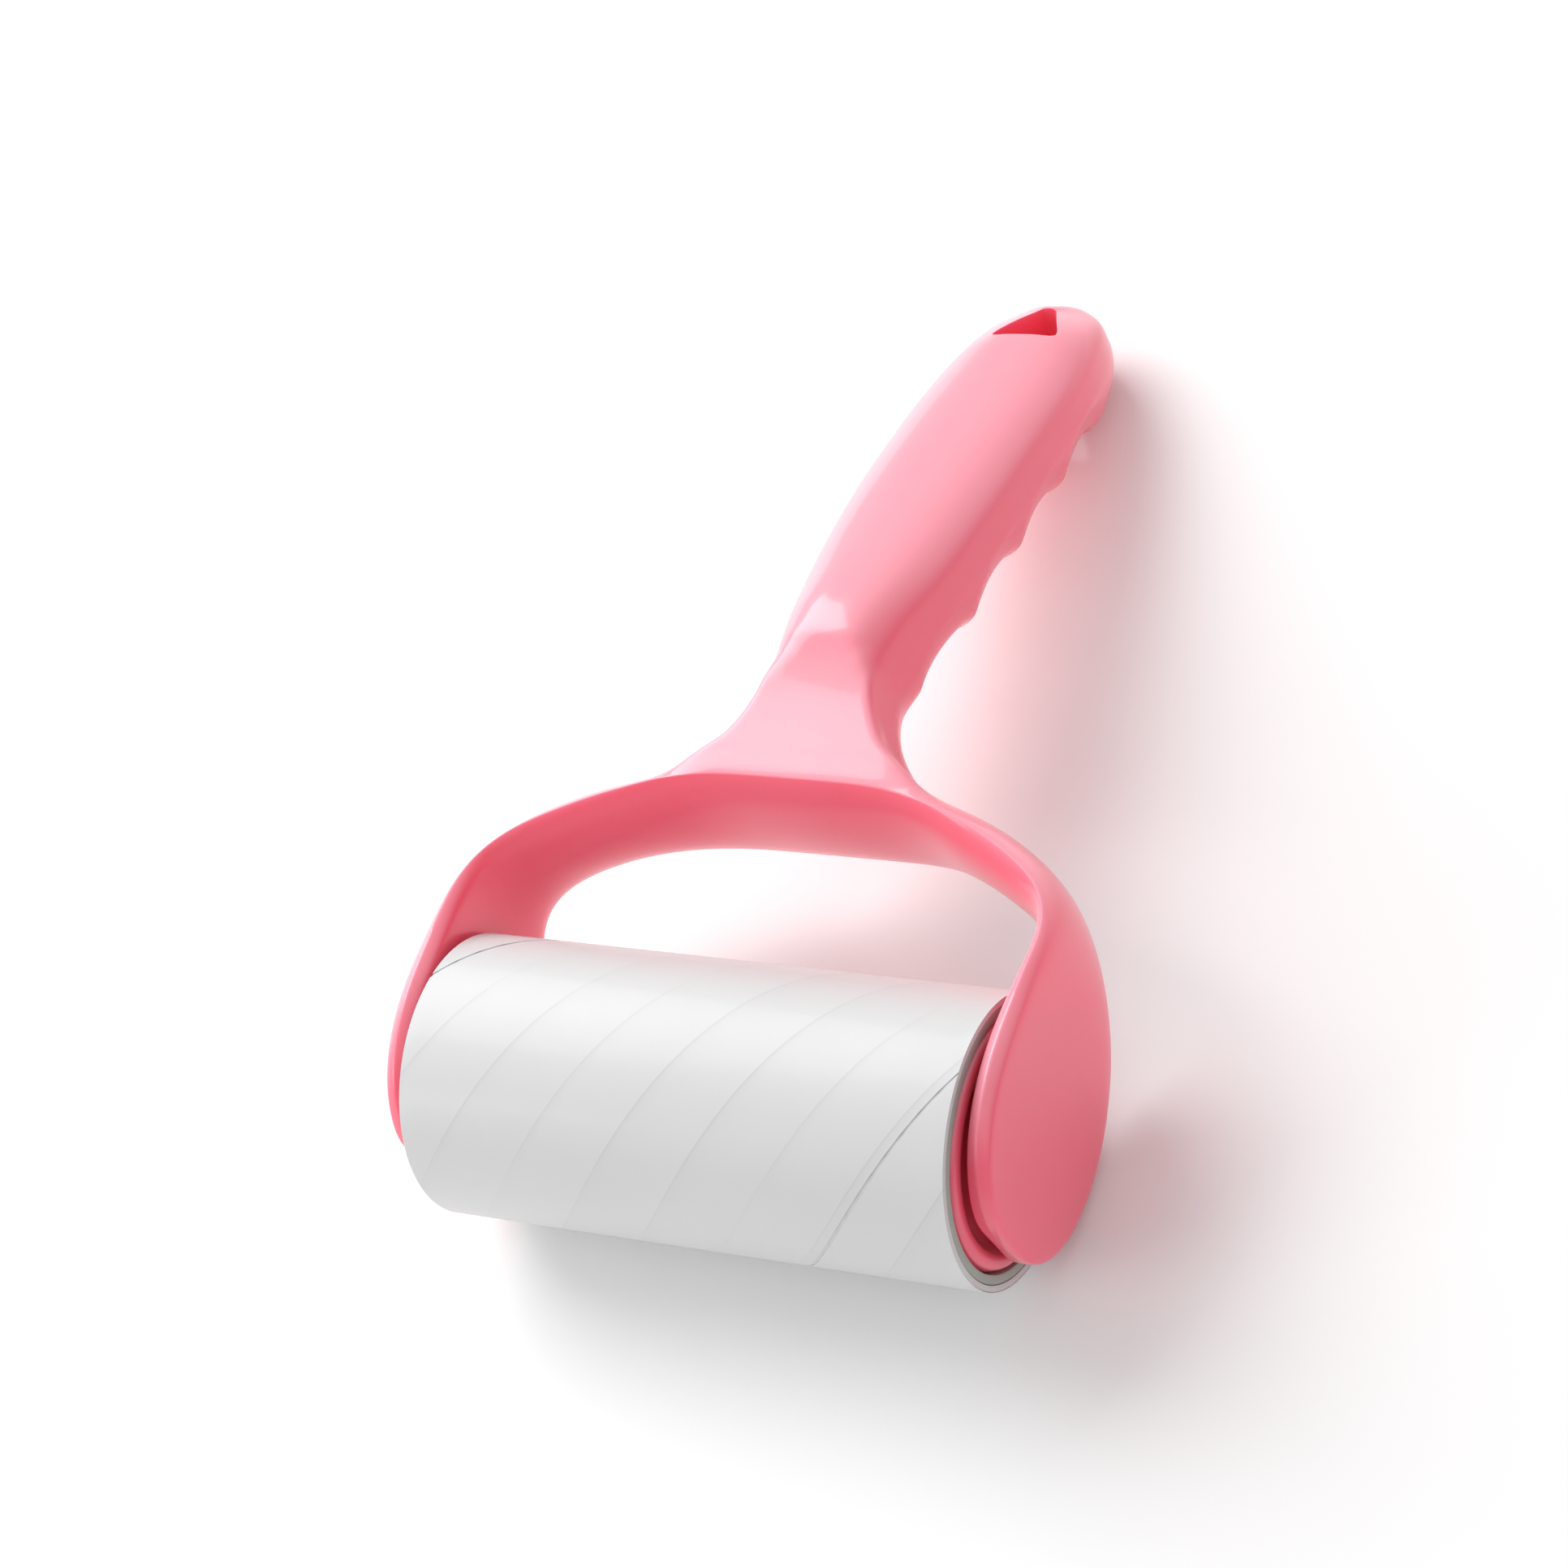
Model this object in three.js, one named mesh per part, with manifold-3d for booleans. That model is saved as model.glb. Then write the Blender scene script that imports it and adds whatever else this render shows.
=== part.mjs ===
// Lint roller: a yoke-shaped handle moulding that carries a refill roll of adhesive paper.
//
// Every piece is shaped in the upright frame: the origin is the centre of the roll, X runs along
// the roll, +Y points to the finger side of the grip, and +Z points from the roll up the handle.
// The finished tool is then laid down as it rests on a table, on its roll and the end of its
// grip, with its front face up. In that frame the origin is the middle of the underside, +Y runs
// towards the end of the grip, and +Z is up. Units are millimetres.

import * as THREE from 'three';
import { mergeVertices } from 'three/addons/utils/BufferGeometryUtils.js';
import Module from 'manifold-3d';

const wasm = await Module();
wasm.setup();

// ---- driving dimensions -------------------------------------------------------------------

const ROLL_LENGTH = 100;
const ROLL_RADIUS = 24;
const ROUND_STEPS = 40;

// The refill, from its bore outwards.
const CORE_BORE_RADIUS = 21.1;
const CORE_RADIUS = 22.7;
const WOUND_INNER_RADIUS = 22.85;
const WOUND_RADIUS = 23.6;
const SHEET_INNER_RADIUS = 23.7;
const SHEET_SLANT = Math.PI / 2;
const SHEET_SLIT = 0.02;

// The drum that the refill slides onto, and the caps that close it.
const DRUM_LENGTH = 94;
const DRUM_INNER_RADIUS = 18.9;
const DRUM_RADIUS = 20.3;
const DRUM_RIB_RADIUS = 20.9;
const DRUM_RIBS = 6;
const CAP_RIM_RADIUS = 20.9;
const CAP_CREST_X = 50.3;
const CAP_SEAT_X = 47.3;
const CAP_SKIRT_RADIUS = 18.6;
const CAP_SKIRT_END_X = 39;
const CAP_DISH_X = 45.2;
const CAP_WALL = 1.8;
const BEAD_STEPS = 4;
const HUB_RADIUS = 6.2;
const HUB_FACE_X = 51;

// The pivot pins, set in blind sockets in the pads.
const PIN_RADIUS = 3;
const PIN_INNER_X = 37.5;
const PIN_OUTER_X = 54;
const PIN_CLEARANCE = 0.3;

// The pads at the lower ends of the yoke.
const PAD_INNER_X = 51.5;
const PAD_OUTER_X = 56;
const PAD_RADIUS = 22.7;
const PAD_CENTRE_Y = 0.7;
const PAD_CENTRE_Z = 4.7;
const PAD_EDGE = 1.6;

// The yoke: the middle line of its strap, and the strap's half width along Y and half thickness
// there, from the middle of the bridge to the inside of the pad.
const YOKE_STATIONS = [
  { x: 0, y: 0, z: 53.7, halfWidth: 14, halfThickness: 2.3 },
  { x: 13, y: 0, z: 53.5, halfWidth: 14, halfThickness: 2.5 },
  { x: 25, y: -2, z: 51.4, halfWidth: 12.2, halfThickness: 3.3 },
  { x: 36.4, y: -4, z: 46.8, halfWidth: 10.4, halfThickness: 3.8 },
  { x: 47.8, y: -4.6, z: 40.6, halfWidth: 10.6, halfThickness: 3.6 },
  { x: 53.8, y: -4.6, z: 32.4, halfWidth: 12.2, halfThickness: 2.9 },
  { x: 54.6, y: -1.8, z: 24.5, halfWidth: 16.8, halfThickness: 2.1 },
  { x: 53.9, y: 0.4, z: 14, halfWidth: 19.6, halfThickness: 1.8 },
];
const YOKE_STEPS = 18;
const YOKE_RING = 16;

// The neck and grip: sections square to a leaning middle line in the YZ plane.
const GRIP_STATIONS = [
  { y: -4.2, z: 54.3, halfWidth: 26, halfDepth: 9.8 },
  { y: -5, z: 58.4, halfWidth: 19.6, halfDepth: 10.2 },
  { y: -7.2, z: 64.5, halfWidth: 13.4, halfDepth: 10.2 },
  { y: -7.5, z: 73, halfWidth: 11.4, halfDepth: 11.4 },
  { y: -5.7, z: 82, halfWidth: 12.1, halfDepth: 12.2 },
  { y: -1.2, z: 94, halfWidth: 14.3, halfDepth: 11.5 },
  { y: 5.7, z: 112.5, halfWidth: 15.9, halfDepth: 10.9 },
  { y: 14.2, z: 132, halfWidth: 16.4, halfDepth: 10.7 },
  { y: 22.6, z: 150, halfWidth: 15.9, halfDepth: 10.4 },
  { y: 29.7, z: 163.5, halfWidth: 13.2, halfDepth: 10.8 },
  { y: 34.2, z: 171.4, halfWidth: 9.8, halfDepth: 9.2 },
  { y: 36.6, z: 176, halfWidth: 4.8, halfDepth: 4.8 },
];
const GRIP_STEPS = 37;
const GRIP_RING = 24;
const GRIP_ROUNDNESS = 2.3;

// The finger grooves across the back of the grip.
const GROOVE_FIRST_Z = 91;
const GROOVE_PITCH = 18.5;
const GROOVE_COUNT = 4;
const GROOVE_DEPTH = 4.2;
const GROOVE_WRAP = 0.5;

// The hollow of the grip, its back cover and the two screws that hold the cover.
const GRIP_WALL = 2.4;
const HOLLOW_FROM = 0.34;
const HOLLOW_TO = 0.73;
const COVER_HALF_WIDTH = 8;
const COVER_DEPTH = 3.6;
const COVER_STEPS = 26;
const COVER_GAP = 0.3;
const SCREW_PLACES = [0.43, 0.62];
const SCREW_HEAD_RADIUS = 2.8;
const SCREW_HEAD_HEIGHT = 1.7;
const SCREW_RADIUS = 1.1;
const SCREW_LENGTH = 10;
const BOSS_RADIUS = 3.4;

// The hang hole through the end of the grip.
const HANG_PLACE = 0.822;
const HANG_HALF_BASE = 5.9;
const HANG_HEIGHT = 12.4;

// How far the upright tool leans over until it rests on its roll and the end of its grip.
const LYING_ANGLE = THREE.MathUtils.degToRad(84.016);

// ---- finishes -----------------------------------------------------------------------------

const pinkPlastic = () => new THREE.MeshStandardMaterial({ color: '#f98ba0', roughness: 0.22, metalness: 0 });
const drumPlastic = () => new THREE.MeshStandardMaterial({ color: '#f5dfe3', roughness: 0.35, metalness: 0 });
const whitePaper = () => new THREE.MeshStandardMaterial({ color: '#f2f3f3', roughness: 0.45, metalness: 0 });
const greyBoard = () => new THREE.MeshStandardMaterial({ color: '#b9bfb8', roughness: 0.85, metalness: 0 });
const screwSteel = () => new THREE.MeshStandardMaterial({ color: '#b8babd', roughness: 0.3, metalness: 0.9 });

// ---- geometry helpers ---------------------------------------------------------------------

// Strips a geometry down to merged positions, which the solid library needs.
function positionsOnly(geometry) {
  const bare = geometry.clone();
  bare.deleteAttribute('normal');
  bare.deleteAttribute('uv');
  return mergeVertices(bare, 1e-4);
}

function toSolid(geometry) {
  const merged = positionsOnly(geometry);
  const mesh = new wasm.Mesh({
    numProp: 3,
    vertProperties: new Float32Array(merged.attributes.position.array),
    triVerts: new Uint32Array(merged.index.array),
  });
  return new wasm.Manifold(mesh);
}

function toGeometry(solid) {
  const mesh = solid.getMesh();
  const geometry = new THREE.BufferGeometry();
  geometry.setAttribute('position', new THREE.BufferAttribute(new Float32Array(mesh.vertProperties), 3));
  geometry.setIndex(new THREE.BufferAttribute(new Uint32Array(mesh.triVerts), 1));
  geometry.computeVertexNormals();
  return geometry;
}

// The triangles that join each ring of a row to the next one, each quad cut by its shorter diagonal.
function sideTriangles(rings) {
  const count = rings[0].length;
  const points = rings.flat();
  const triangles = [];
  for (let row = 0; row + 1 < rings.length; row += 1) {
    for (let i = 0; i < count; i += 1) {
      const a = row * count + i;
      const b = row * count + ((i + 1) % count);
      const c = a + count;
      const d = b + count;
      const straight = points[a].distanceTo(points[d]) <= points[b].distanceTo(points[c]);
      triangles.push(...(straight ? [a, b, d, a, d, c] : [a, b, c, b, d, c]));
    }
  }
  return triangles;
}

function indexedGeometry(points, triangles) {
  const geometry = new THREE.BufferGeometry().setFromPoints(points);
  geometry.setIndex(triangles);
  geometry.computeVertexNormals();
  return geometry;
}

// A closed skin over a row of rings of equal length. Both ends are closed by a fan.
function loft(rings) {
  const count = rings[0].length;
  const points = rings.flat();
  const triangles = sideTriangles(rings);
  const addFan = (ring, first, outward) => {
    const middle = new THREE.Vector3();
    ring.forEach((point) => middle.add(point));
    points.push(middle.divideScalar(count));
    const hub = points.length - 1;
    for (let i = 0; i < count; i += 1) {
      const next = (i + 1) % count;
      triangles.push(hub, ...(outward ? [first + i, first + next] : [first + next, first + i]));
    }
  };
  addFan(rings[0], 0, false);
  addFan(rings[rings.length - 1], (rings.length - 1) * count, true);
  return indexedGeometry(points, triangles);
}

// A closed skin over a row of C-shaped rings, outer side first. Both ends are closed by a strip.
function stripLoft(rings) {
  const count = rings[0].length;
  const triangles = sideTriangles(rings);
  const closeEnd = (first, outward) => {
    for (let i = 0; i + 1 < count / 2; i += 1) {
      const quad = [first + i, first + i + 1, first + count - 2 - i, first + count - 1 - i];
      const [a, b, c, d] = outward ? quad : quad.reverse();
      triangles.push(a, b, c, a, c, d);
    }
  };
  closeEnd(0, false);
  closeEnd((rings.length - 1) * count, true);
  return indexedGeometry(rings.flat(), triangles);
}

// A point of a superellipse ring with half sizes 1, at an angle.
function ringPoint(angle, roundness) {
  const power = 2 / roundness;
  const across = Math.sign(Math.cos(angle)) * Math.abs(Math.cos(angle)) ** power;
  const along = Math.sign(Math.sin(angle)) * Math.abs(Math.sin(angle)) ** power;
  return [across, along];
}

// A lathe profile of [x, radius] pairs turned round the X axis.
function turned(profile) {
  const points = profile.map(([x, radius]) => new THREE.Vector2(radius, x));
  const geometry = new THREE.LatheGeometry(points, ROUND_STEPS);
  geometry.rotateZ(-Math.PI / 2);
  return geometry;
}

// A mesh node with its own material.
function node(name, geometry, material) {
  const mesh = new THREE.Mesh(geometry, material);
  mesh.name = name;
  return mesh;
}

// The same solid on the other side of the X = 0 plane.
function mirrored(solid) {
  return solid.mirror([1, 0, 0]);
}

// ---- yoke ---------------------------------------------------------------------------------

const yokeLine = new THREE.CatmullRomCurve3(YOKE_STATIONS.map((s) => new THREE.Vector3(s.x, s.y, s.z)));
const yokeSize = new THREE.CatmullRomCurve3(
  YOKE_STATIONS.map((s) => new THREE.Vector3(s.halfWidth, s.halfThickness, 0)),
);

// One section of the strap: wide along Y, thin square to the middle line.
function yokeRing(place) {
  const centre = yokeLine.getPoint(place);
  const tangent = yokeLine.getTangent(place);
  if (place === 0) tangent.set(1, 0, 0);
  const outward = new THREE.Vector3(-tangent.z, 0, tangent.x).normalize();
  const size = yokeSize.getPoint(place);
  const ring = [];
  for (let i = 0; i < YOKE_RING; i += 1) {
    const [across, along] = ringPoint((2 * Math.PI * i) / YOKE_RING, 2.1);
    const point = centre.clone().addScaledVector(outward, along * size.y);
    point.y += across * size.x;
    ring.push(point);
  }
  return ring;
}

function yokeHalf() {
  const rings = [];
  for (let step = 0; step <= YOKE_STEPS; step += 1) {
    rings.push(yokeRing(step / YOKE_STEPS));
  }
  return toSolid(loft(rings));
}

// The flat pad: a round disc with rounded edges that takes the end of the strap.
function padSolid() {
  const outline = new THREE.Shape();
  outline.absarc(PAD_CENTRE_Y, PAD_CENTRE_Z, PAD_RADIUS - PAD_EDGE, 0, 2 * Math.PI, false);
  const plate = new THREE.ExtrudeGeometry(outline, {
    depth: PAD_OUTER_X - PAD_INNER_X - 2 * PAD_EDGE,
    bevelEnabled: true,
    bevelThickness: PAD_EDGE,
    bevelSize: PAD_EDGE,
    bevelSegments: 2,
    curveSegments: 18,
  });
  plate.translate(0, 0, PAD_INNER_X + PAD_EDGE);
  const standUp = new THREE.Matrix4().makeBasis(
    new THREE.Vector3(0, 1, 0),
    new THREE.Vector3(0, 0, 1),
    new THREE.Vector3(1, 0, 0),
  );
  plate.applyMatrix4(standUp);
  return toSolid(plate);
}

// ---- grip ---------------------------------------------------------------------------------

const gripLine = new THREE.CatmullRomCurve3(GRIP_STATIONS.map((s) => new THREE.Vector3(0, s.y, s.z)));
const gripSize = new THREE.CatmullRomCurve3(
  GRIP_STATIONS.map((s) => new THREE.Vector3(s.halfWidth, s.halfDepth, 0)),
);

// Depth of the finger grooves at a height up the grip's middle line.
function grooveDepth(z) {
  const turns = (z - GROOVE_FIRST_Z) / GROOVE_PITCH;
  const nearest = THREE.MathUtils.clamp(Math.round(turns), 0, GROOVE_COUNT - 1);
  const offset = Math.min(1, 2 * Math.abs(turns - nearest));
  return GROOVE_DEPTH * 0.5 * (1 + Math.cos(Math.PI * offset));
}

// The local frame of the grip at a place from 0 at the foot of the neck to 1 at the tip.
function gripFrame(place) {
  const centre = gripLine.getPoint(place);
  const tangent = gripLine.getTangent(place);
  const back = new THREE.Vector3(0, tangent.z, -tangent.y);
  const size = gripSize.getPoint(place);
  return { centre, tangent, back, halfWidth: size.x, halfDepth: size.y };
}

// One section of the grip, drawn in by a wall thickness where it is the hollow.
function gripRing(place, wall) {
  const { centre, back, halfWidth, halfDepth } = gripFrame(place);
  const groove = grooveDepth(centre.z);
  const ring = [];
  for (let i = 0; i < GRIP_RING; i += 1) {
    const [across, along] = ringPoint((2 * Math.PI * i) / GRIP_RING, GRIP_ROUNDNESS);
    const dent = groove * Math.max(0, along) ** GROOVE_WRAP;
    const point = centre.clone().addScaledVector(back, along * (halfDepth - wall) - dent);
    point.x += across * (halfWidth - wall);
    ring.push(point);
  }
  return ring;
}

function gripSolid(from, to, wall, steps) {
  const rings = [];
  for (let step = 0; step <= steps; step += 1) {
    rings.push(gripRing(from + ((to - from) * step) / steps, wall));
  }
  return toSolid(loft(rings));
}

// The depth of the grip's back face on its middle line, in the bottom of any groove.
function backFace(place) {
  const { centre, halfDepth } = gripFrame(place);
  return halfDepth - grooveDepth(centre.z);
}

// The slot in the back of the grip that the cover fills, grown by a clearance.
function coverSlot(clearance) {
  const rings = [];
  const from = HOLLOW_FROM + 0.02 - clearance * 0.008;
  const to = HOLLOW_TO - 0.02 + clearance * 0.008;
  for (let step = 0; step <= COVER_STEPS; step += 1) {
    const place = from + ((to - from) * step) / COVER_STEPS;
    const { centre, back, halfDepth } = gripFrame(place);
    const halfWidth = COVER_HALF_WIDTH + clearance;
    const near = backFace(place) - COVER_DEPTH - clearance;
    const far = halfDepth + 6;
    const corner = (x, depth) => {
      const point = centre.clone().addScaledVector(back, depth);
      point.x += x;
      return point;
    };
    rings.push([
      corner(-halfWidth, near),
      corner(halfWidth, near),
      corner(halfWidth, far),
      corner(-halfWidth, far),
    ]);
  }
  return toSolid(loft(rings));
}

// A cylinder along the grip's front-to-back direction, between two depths from its middle line.
function depthCylinder(place, radius, nearDepth, farDepth, steps = 20) {
  const { centre, back } = gripFrame(place);
  const geometry = new THREE.CylinderGeometry(radius, radius, farDepth - nearDepth, steps);
  geometry.translate(0, (farDepth + nearDepth) / 2, 0);
  const turn = new THREE.Quaternion().setFromUnitVectors(new THREE.Vector3(0, 1, 0), back);
  geometry.applyQuaternion(turn);
  geometry.translate(centre.x, centre.y, centre.z);
  return toSolid(geometry);
}

// The hang hole: a triangle with bowed sides and a blunt top. It runs straight down through the
// grip when the tool lies on a table.
function hangHole() {
  const { centre, back, halfDepth } = gripFrame(HANG_PLACE);
  const outline = new THREE.Shape();
  const low = -HANG_HEIGHT / 2;
  const high = HANG_HEIGHT / 2;
  outline.moveTo(-HANG_HALF_BASE, low);
  outline.lineTo(HANG_HALF_BASE, low);
  outline.quadraticCurveTo(HANG_HALF_BASE * 0.7, high * 0.5, HANG_HALF_BASE * 0.2, high);
  outline.lineTo(-HANG_HALF_BASE * 0.2, high);
  outline.quadraticCurveTo(-HANG_HALF_BASE * 0.7, high * 0.5, -HANG_HALF_BASE, low);
  const geometry = new THREE.ExtrudeGeometry(outline, { depth: 60, bevelEnabled: false, curveSegments: 6 });
  geometry.translate(0, 0, -30);
  geometry.rotateX(LYING_ANGLE);
  const front = centre.clone().addScaledVector(back, -halfDepth);
  geometry.translate(front.x, front.y, front.z);
  return toSolid(geometry);
}

// The front moulding: yoke, pads, neck and the hollow front of the grip in one piece.
function frameMoulding() {
  const half = yokeHalf();
  const pad = padSolid();
  let solid = half.add(mirrored(half)).add(pad).add(mirrored(pad));
  solid = solid.add(gripSolid(0, 1, 0, GRIP_STEPS));
  solid = solid.subtract(gripSolid(HOLLOW_FROM, HOLLOW_TO, GRIP_WALL, 20));
  for (const place of SCREW_PLACES) {
    const { halfDepth } = gripFrame(place);
    const top = backFace(place) - COVER_DEPTH - 2 * COVER_GAP;
    solid = solid.add(depthCylinder(place, BOSS_RADIUS, -halfDepth + 1, top));
    solid = solid.subtract(depthCylinder(place, SCREW_RADIUS + PIN_CLEARANCE, -halfDepth + 4, top + 1));
  }
  solid = solid.subtract(coverSlot(COVER_GAP));
  solid = solid.subtract(hangHole());
  const socket = toSolid(turned([
    [PAD_INNER_X - 1, 0],
    [PAD_INNER_X - 1, PIN_RADIUS + PIN_CLEARANCE],
    [PIN_OUTER_X + PIN_CLEARANCE, PIN_RADIUS + PIN_CLEARANCE],
    [PIN_OUTER_X + PIN_CLEARANCE, 0],
  ]));
  return solid.subtract(socket).subtract(mirrored(socket));
}

// The cover: the skin of the grip's back, with the finger grooves, between the slot's edges.
function backCover() {
  let solid = gripSolid(0, 1, 0, GRIP_STEPS).intersect(coverSlot(0));
  for (const place of SCREW_PLACES) {
    const face = backFace(place);
    const seat = face - SCREW_HEAD_HEIGHT - 0.6;
    solid = solid.subtract(depthCylinder(place, SCREW_HEAD_RADIUS + PIN_CLEARANCE, seat, face + 5));
    solid = solid.subtract(depthCylinder(place, SCREW_RADIUS + PIN_CLEARANCE, -5, face + 5));
  }
  return solid;
}

// A pan-head screw, head down in the cover's counterbore and shank in the boss.
function coverScrew(place) {
  const seat = backFace(place) - SCREW_HEAD_HEIGHT - 0.6 + PIN_CLEARANCE;
  const head = depthCylinder(place, SCREW_HEAD_RADIUS, seat, seat + SCREW_HEAD_HEIGHT);
  const shank = depthCylinder(place, SCREW_RADIUS, seat - SCREW_LENGTH, seat + 0.5, 16);
  return head.add(shank);
}

// ---- roller -------------------------------------------------------------------------------

function tube(innerRadius, outerRadius, length) {
  const half = length / 2;
  return turned([
    [-half, innerRadius],
    [-half, outerRadius],
    [half, outerRadius],
    [half, innerRadius],
    [-half, innerRadius],
  ]);
}

// The drum: a tube with ribs along it that grip the bore of the refill.
function drumTube() {
  const outline = new THREE.Shape();
  const ribHalfAngle = 0.05;
  for (let rib = 0; rib < DRUM_RIBS; rib += 1) {
    const middle = (2 * Math.PI * rib) / DRUM_RIBS;
    const nextStart = middle + (2 * Math.PI) / DRUM_RIBS - ribHalfAngle;
    outline.absarc(0, 0, DRUM_RIB_RADIUS, middle - ribHalfAngle, middle + ribHalfAngle, false);
    outline.absarc(0, 0, DRUM_RADIUS, middle + ribHalfAngle, nextStart, false);
  }
  const bore = new THREE.Path();
  bore.absarc(0, 0, DRUM_INNER_RADIUS, 0, 2 * Math.PI, true);
  outline.holes.push(bore);
  const geometry = new THREE.ExtrudeGeometry(outline, {
    depth: DRUM_LENGTH,
    bevelEnabled: false,
    curveSegments: 10,
  });
  geometry.translate(0, 0, -DRUM_LENGTH / 2);
  geometry.rotateY(Math.PI / 2);
  return geometry;
}

// An end cap: rounded rim, dished face, hub with a bore, and a skirt that plugs the drum.
function endCap() {
  const rimInner = CAP_RIM_RADIUS - 3.4;
  const bead = (CAP_RIM_RADIUS - rimInner) / 2;
  const beadRadius = CAP_RIM_RADIUS - bead;
  const profile = [[CAP_SEAT_X, CAP_RIM_RADIUS]];
  for (let step = 0; step <= BEAD_STEPS; step += 1) {
    const angle = (Math.PI * step) / BEAD_STEPS;
    profile.push([CAP_CREST_X - bead + Math.sin(angle) * bead, beadRadius + Math.cos(angle) * bead]);
  }
  const bore = PIN_RADIUS + PIN_CLEARANCE;
  profile.push(
    [CAP_DISH_X, rimInner - 0.6],
    [CAP_DISH_X, HUB_RADIUS],
    [HUB_FACE_X, HUB_RADIUS - 0.3],
    [HUB_FACE_X, bore],
    [CAP_SKIRT_END_X, bore],
    [CAP_SKIRT_END_X, HUB_RADIUS],
    [CAP_DISH_X - CAP_WALL, HUB_RADIUS],
    [CAP_DISH_X - CAP_WALL, CAP_SKIRT_RADIUS - CAP_WALL],
    [CAP_SKIRT_END_X, CAP_SKIRT_RADIUS - CAP_WALL],
    [CAP_SKIRT_END_X, CAP_SKIRT_RADIUS],
    [CAP_SEAT_X, CAP_SKIRT_RADIUS],
    [CAP_SEAT_X, CAP_RIM_RADIUS],
  );
  return toSolid(turned(profile));
}

// A pivot pin: a plain round stub with a chamfered inner end.
function pivotPin() {
  return toSolid(turned([
    [PIN_INNER_X, 0],
    [PIN_INNER_X, PIN_RADIUS - 0.8],
    [PIN_INNER_X + 1, PIN_RADIUS],
    [PIN_OUTER_X, PIN_RADIUS],
    [PIN_OUTER_X, 0],
  ]));
}

// The outermost sheet: one turn of paper whose two edges meet along a slanting line.
function outerSheet() {
  const rings = [];
  const lengthSteps = 10;
  for (let step = 0; step <= lengthSteps; step += 1) {
    const share = step / lengthSteps;
    const x = (share - 0.5) * ROLL_LENGTH;
    const start = SHEET_SLANT * share + SHEET_SLIT / 2;
    const sweep = 2 * Math.PI - SHEET_SLIT;
    const ring = [];
    const place = (radius, turn) => new THREE.Vector3(x, Math.cos(turn) * radius, Math.sin(turn) * radius);
    for (let i = 0; i <= ROUND_STEPS; i += 1) ring.push(place(ROLL_RADIUS, start + (sweep * i) / ROUND_STEPS));
    for (let i = ROUND_STEPS; i >= 0; i -= 1) {
      ring.push(place(SHEET_INNER_RADIUS, start + (sweep * i) / ROUND_STEPS));
    }
    rings.push(ring);
  }
  return stripLoft(rings);
}

// ---- assembly -----------------------------------------------------------------------------

function handleNodes() {
  const pin = pivotPin();
  const [lowerPlace, upperPlace] = SCREW_PLACES;
  return [
    node('frame_moulding', toGeometry(frameMoulding()), pinkPlastic()),
    node('grip_back_cover', toGeometry(backCover()), pinkPlastic()),
    node('cover_screw_lower', toGeometry(coverScrew(lowerPlace)), screwSteel()),
    node('cover_screw_upper', toGeometry(coverScrew(upperPlace)), screwSteel()),
    node('pivot_pin_right', toGeometry(pin), pinkPlastic()),
    node('pivot_pin_left', toGeometry(mirrored(pin)), pinkPlastic()),
  ];
}

function rollerNodes() {
  const cap = endCap();
  return [
    node('end_cap_right', toGeometry(cap), pinkPlastic()),
    node('end_cap_left', toGeometry(mirrored(cap)), pinkPlastic()),
    node('drum_tube', drumTube(), drumPlastic()),
    node('cardboard_core', tube(CORE_BORE_RADIUS, CORE_RADIUS, ROLL_LENGTH), greyBoard()),
    node('adhesive_roll', tube(WOUND_INNER_RADIUS, WOUND_RADIUS, ROLL_LENGTH), whitePaper()),
    node('outer_sheet', outerSheet(), whitePaper()),
  ];
}

function lintRoller() {
  const handle = new THREE.Group();
  handle.add(...handleNodes());
  const roller = new THREE.Group();
  roller.add(...rollerNodes());
  const upright = new THREE.Group();
  upright.add(handle, roller);
  upright.rotation.x = -LYING_ANGLE;
  upright.updateMatrixWorld(true);
  const box = new THREE.Box3().setFromObject(upright, true);
  const middle = box.getCenter(new THREE.Vector3());
  upright.position.set(-middle.x, -middle.y, -box.min.z);
  const tool = new THREE.Group();
  tool.add(upright);
  tool.updateMatrixWorld(true);
  return tool;
}

export default lintRoller();
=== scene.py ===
"""A hand lint roller: a glossy pink yoke handle with a refill roll of adhesive paper that spins in it.

The handle is modelled upright in millimetres, with the roll's middle as the origin, X along the roll, Y to
the rear and Z up the handle. Each finished piece is then laid down into the row frame, in metres.
"""

import logging
import math
from dataclasses import dataclass, replace
from enum import Enum
from typing import Callable, Sequence

import bmesh
import bpy
from mathutils import Matrix, Vector


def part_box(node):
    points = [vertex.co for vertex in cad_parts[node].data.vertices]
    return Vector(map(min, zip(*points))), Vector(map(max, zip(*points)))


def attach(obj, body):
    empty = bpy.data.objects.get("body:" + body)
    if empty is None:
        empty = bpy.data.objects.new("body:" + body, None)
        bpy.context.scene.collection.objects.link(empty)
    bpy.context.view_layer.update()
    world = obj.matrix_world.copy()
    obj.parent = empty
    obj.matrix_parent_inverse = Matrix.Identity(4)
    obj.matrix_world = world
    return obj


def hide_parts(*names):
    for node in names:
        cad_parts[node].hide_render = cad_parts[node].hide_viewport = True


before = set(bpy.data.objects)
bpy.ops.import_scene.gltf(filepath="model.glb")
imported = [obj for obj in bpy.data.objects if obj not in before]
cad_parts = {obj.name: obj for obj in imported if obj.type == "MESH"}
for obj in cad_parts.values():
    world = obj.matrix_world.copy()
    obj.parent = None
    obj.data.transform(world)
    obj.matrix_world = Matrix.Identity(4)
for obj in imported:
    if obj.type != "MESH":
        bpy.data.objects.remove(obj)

LOG = logging.getLogger("lint_roller")
LYING_ANGLE = math.radians(84.016)
STACK_START = 1000.0
STACK_PITCH = 10.0
MILLIMETRE = 0.001
ORIGIN = (0.0, 0.0, 0.0)
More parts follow.
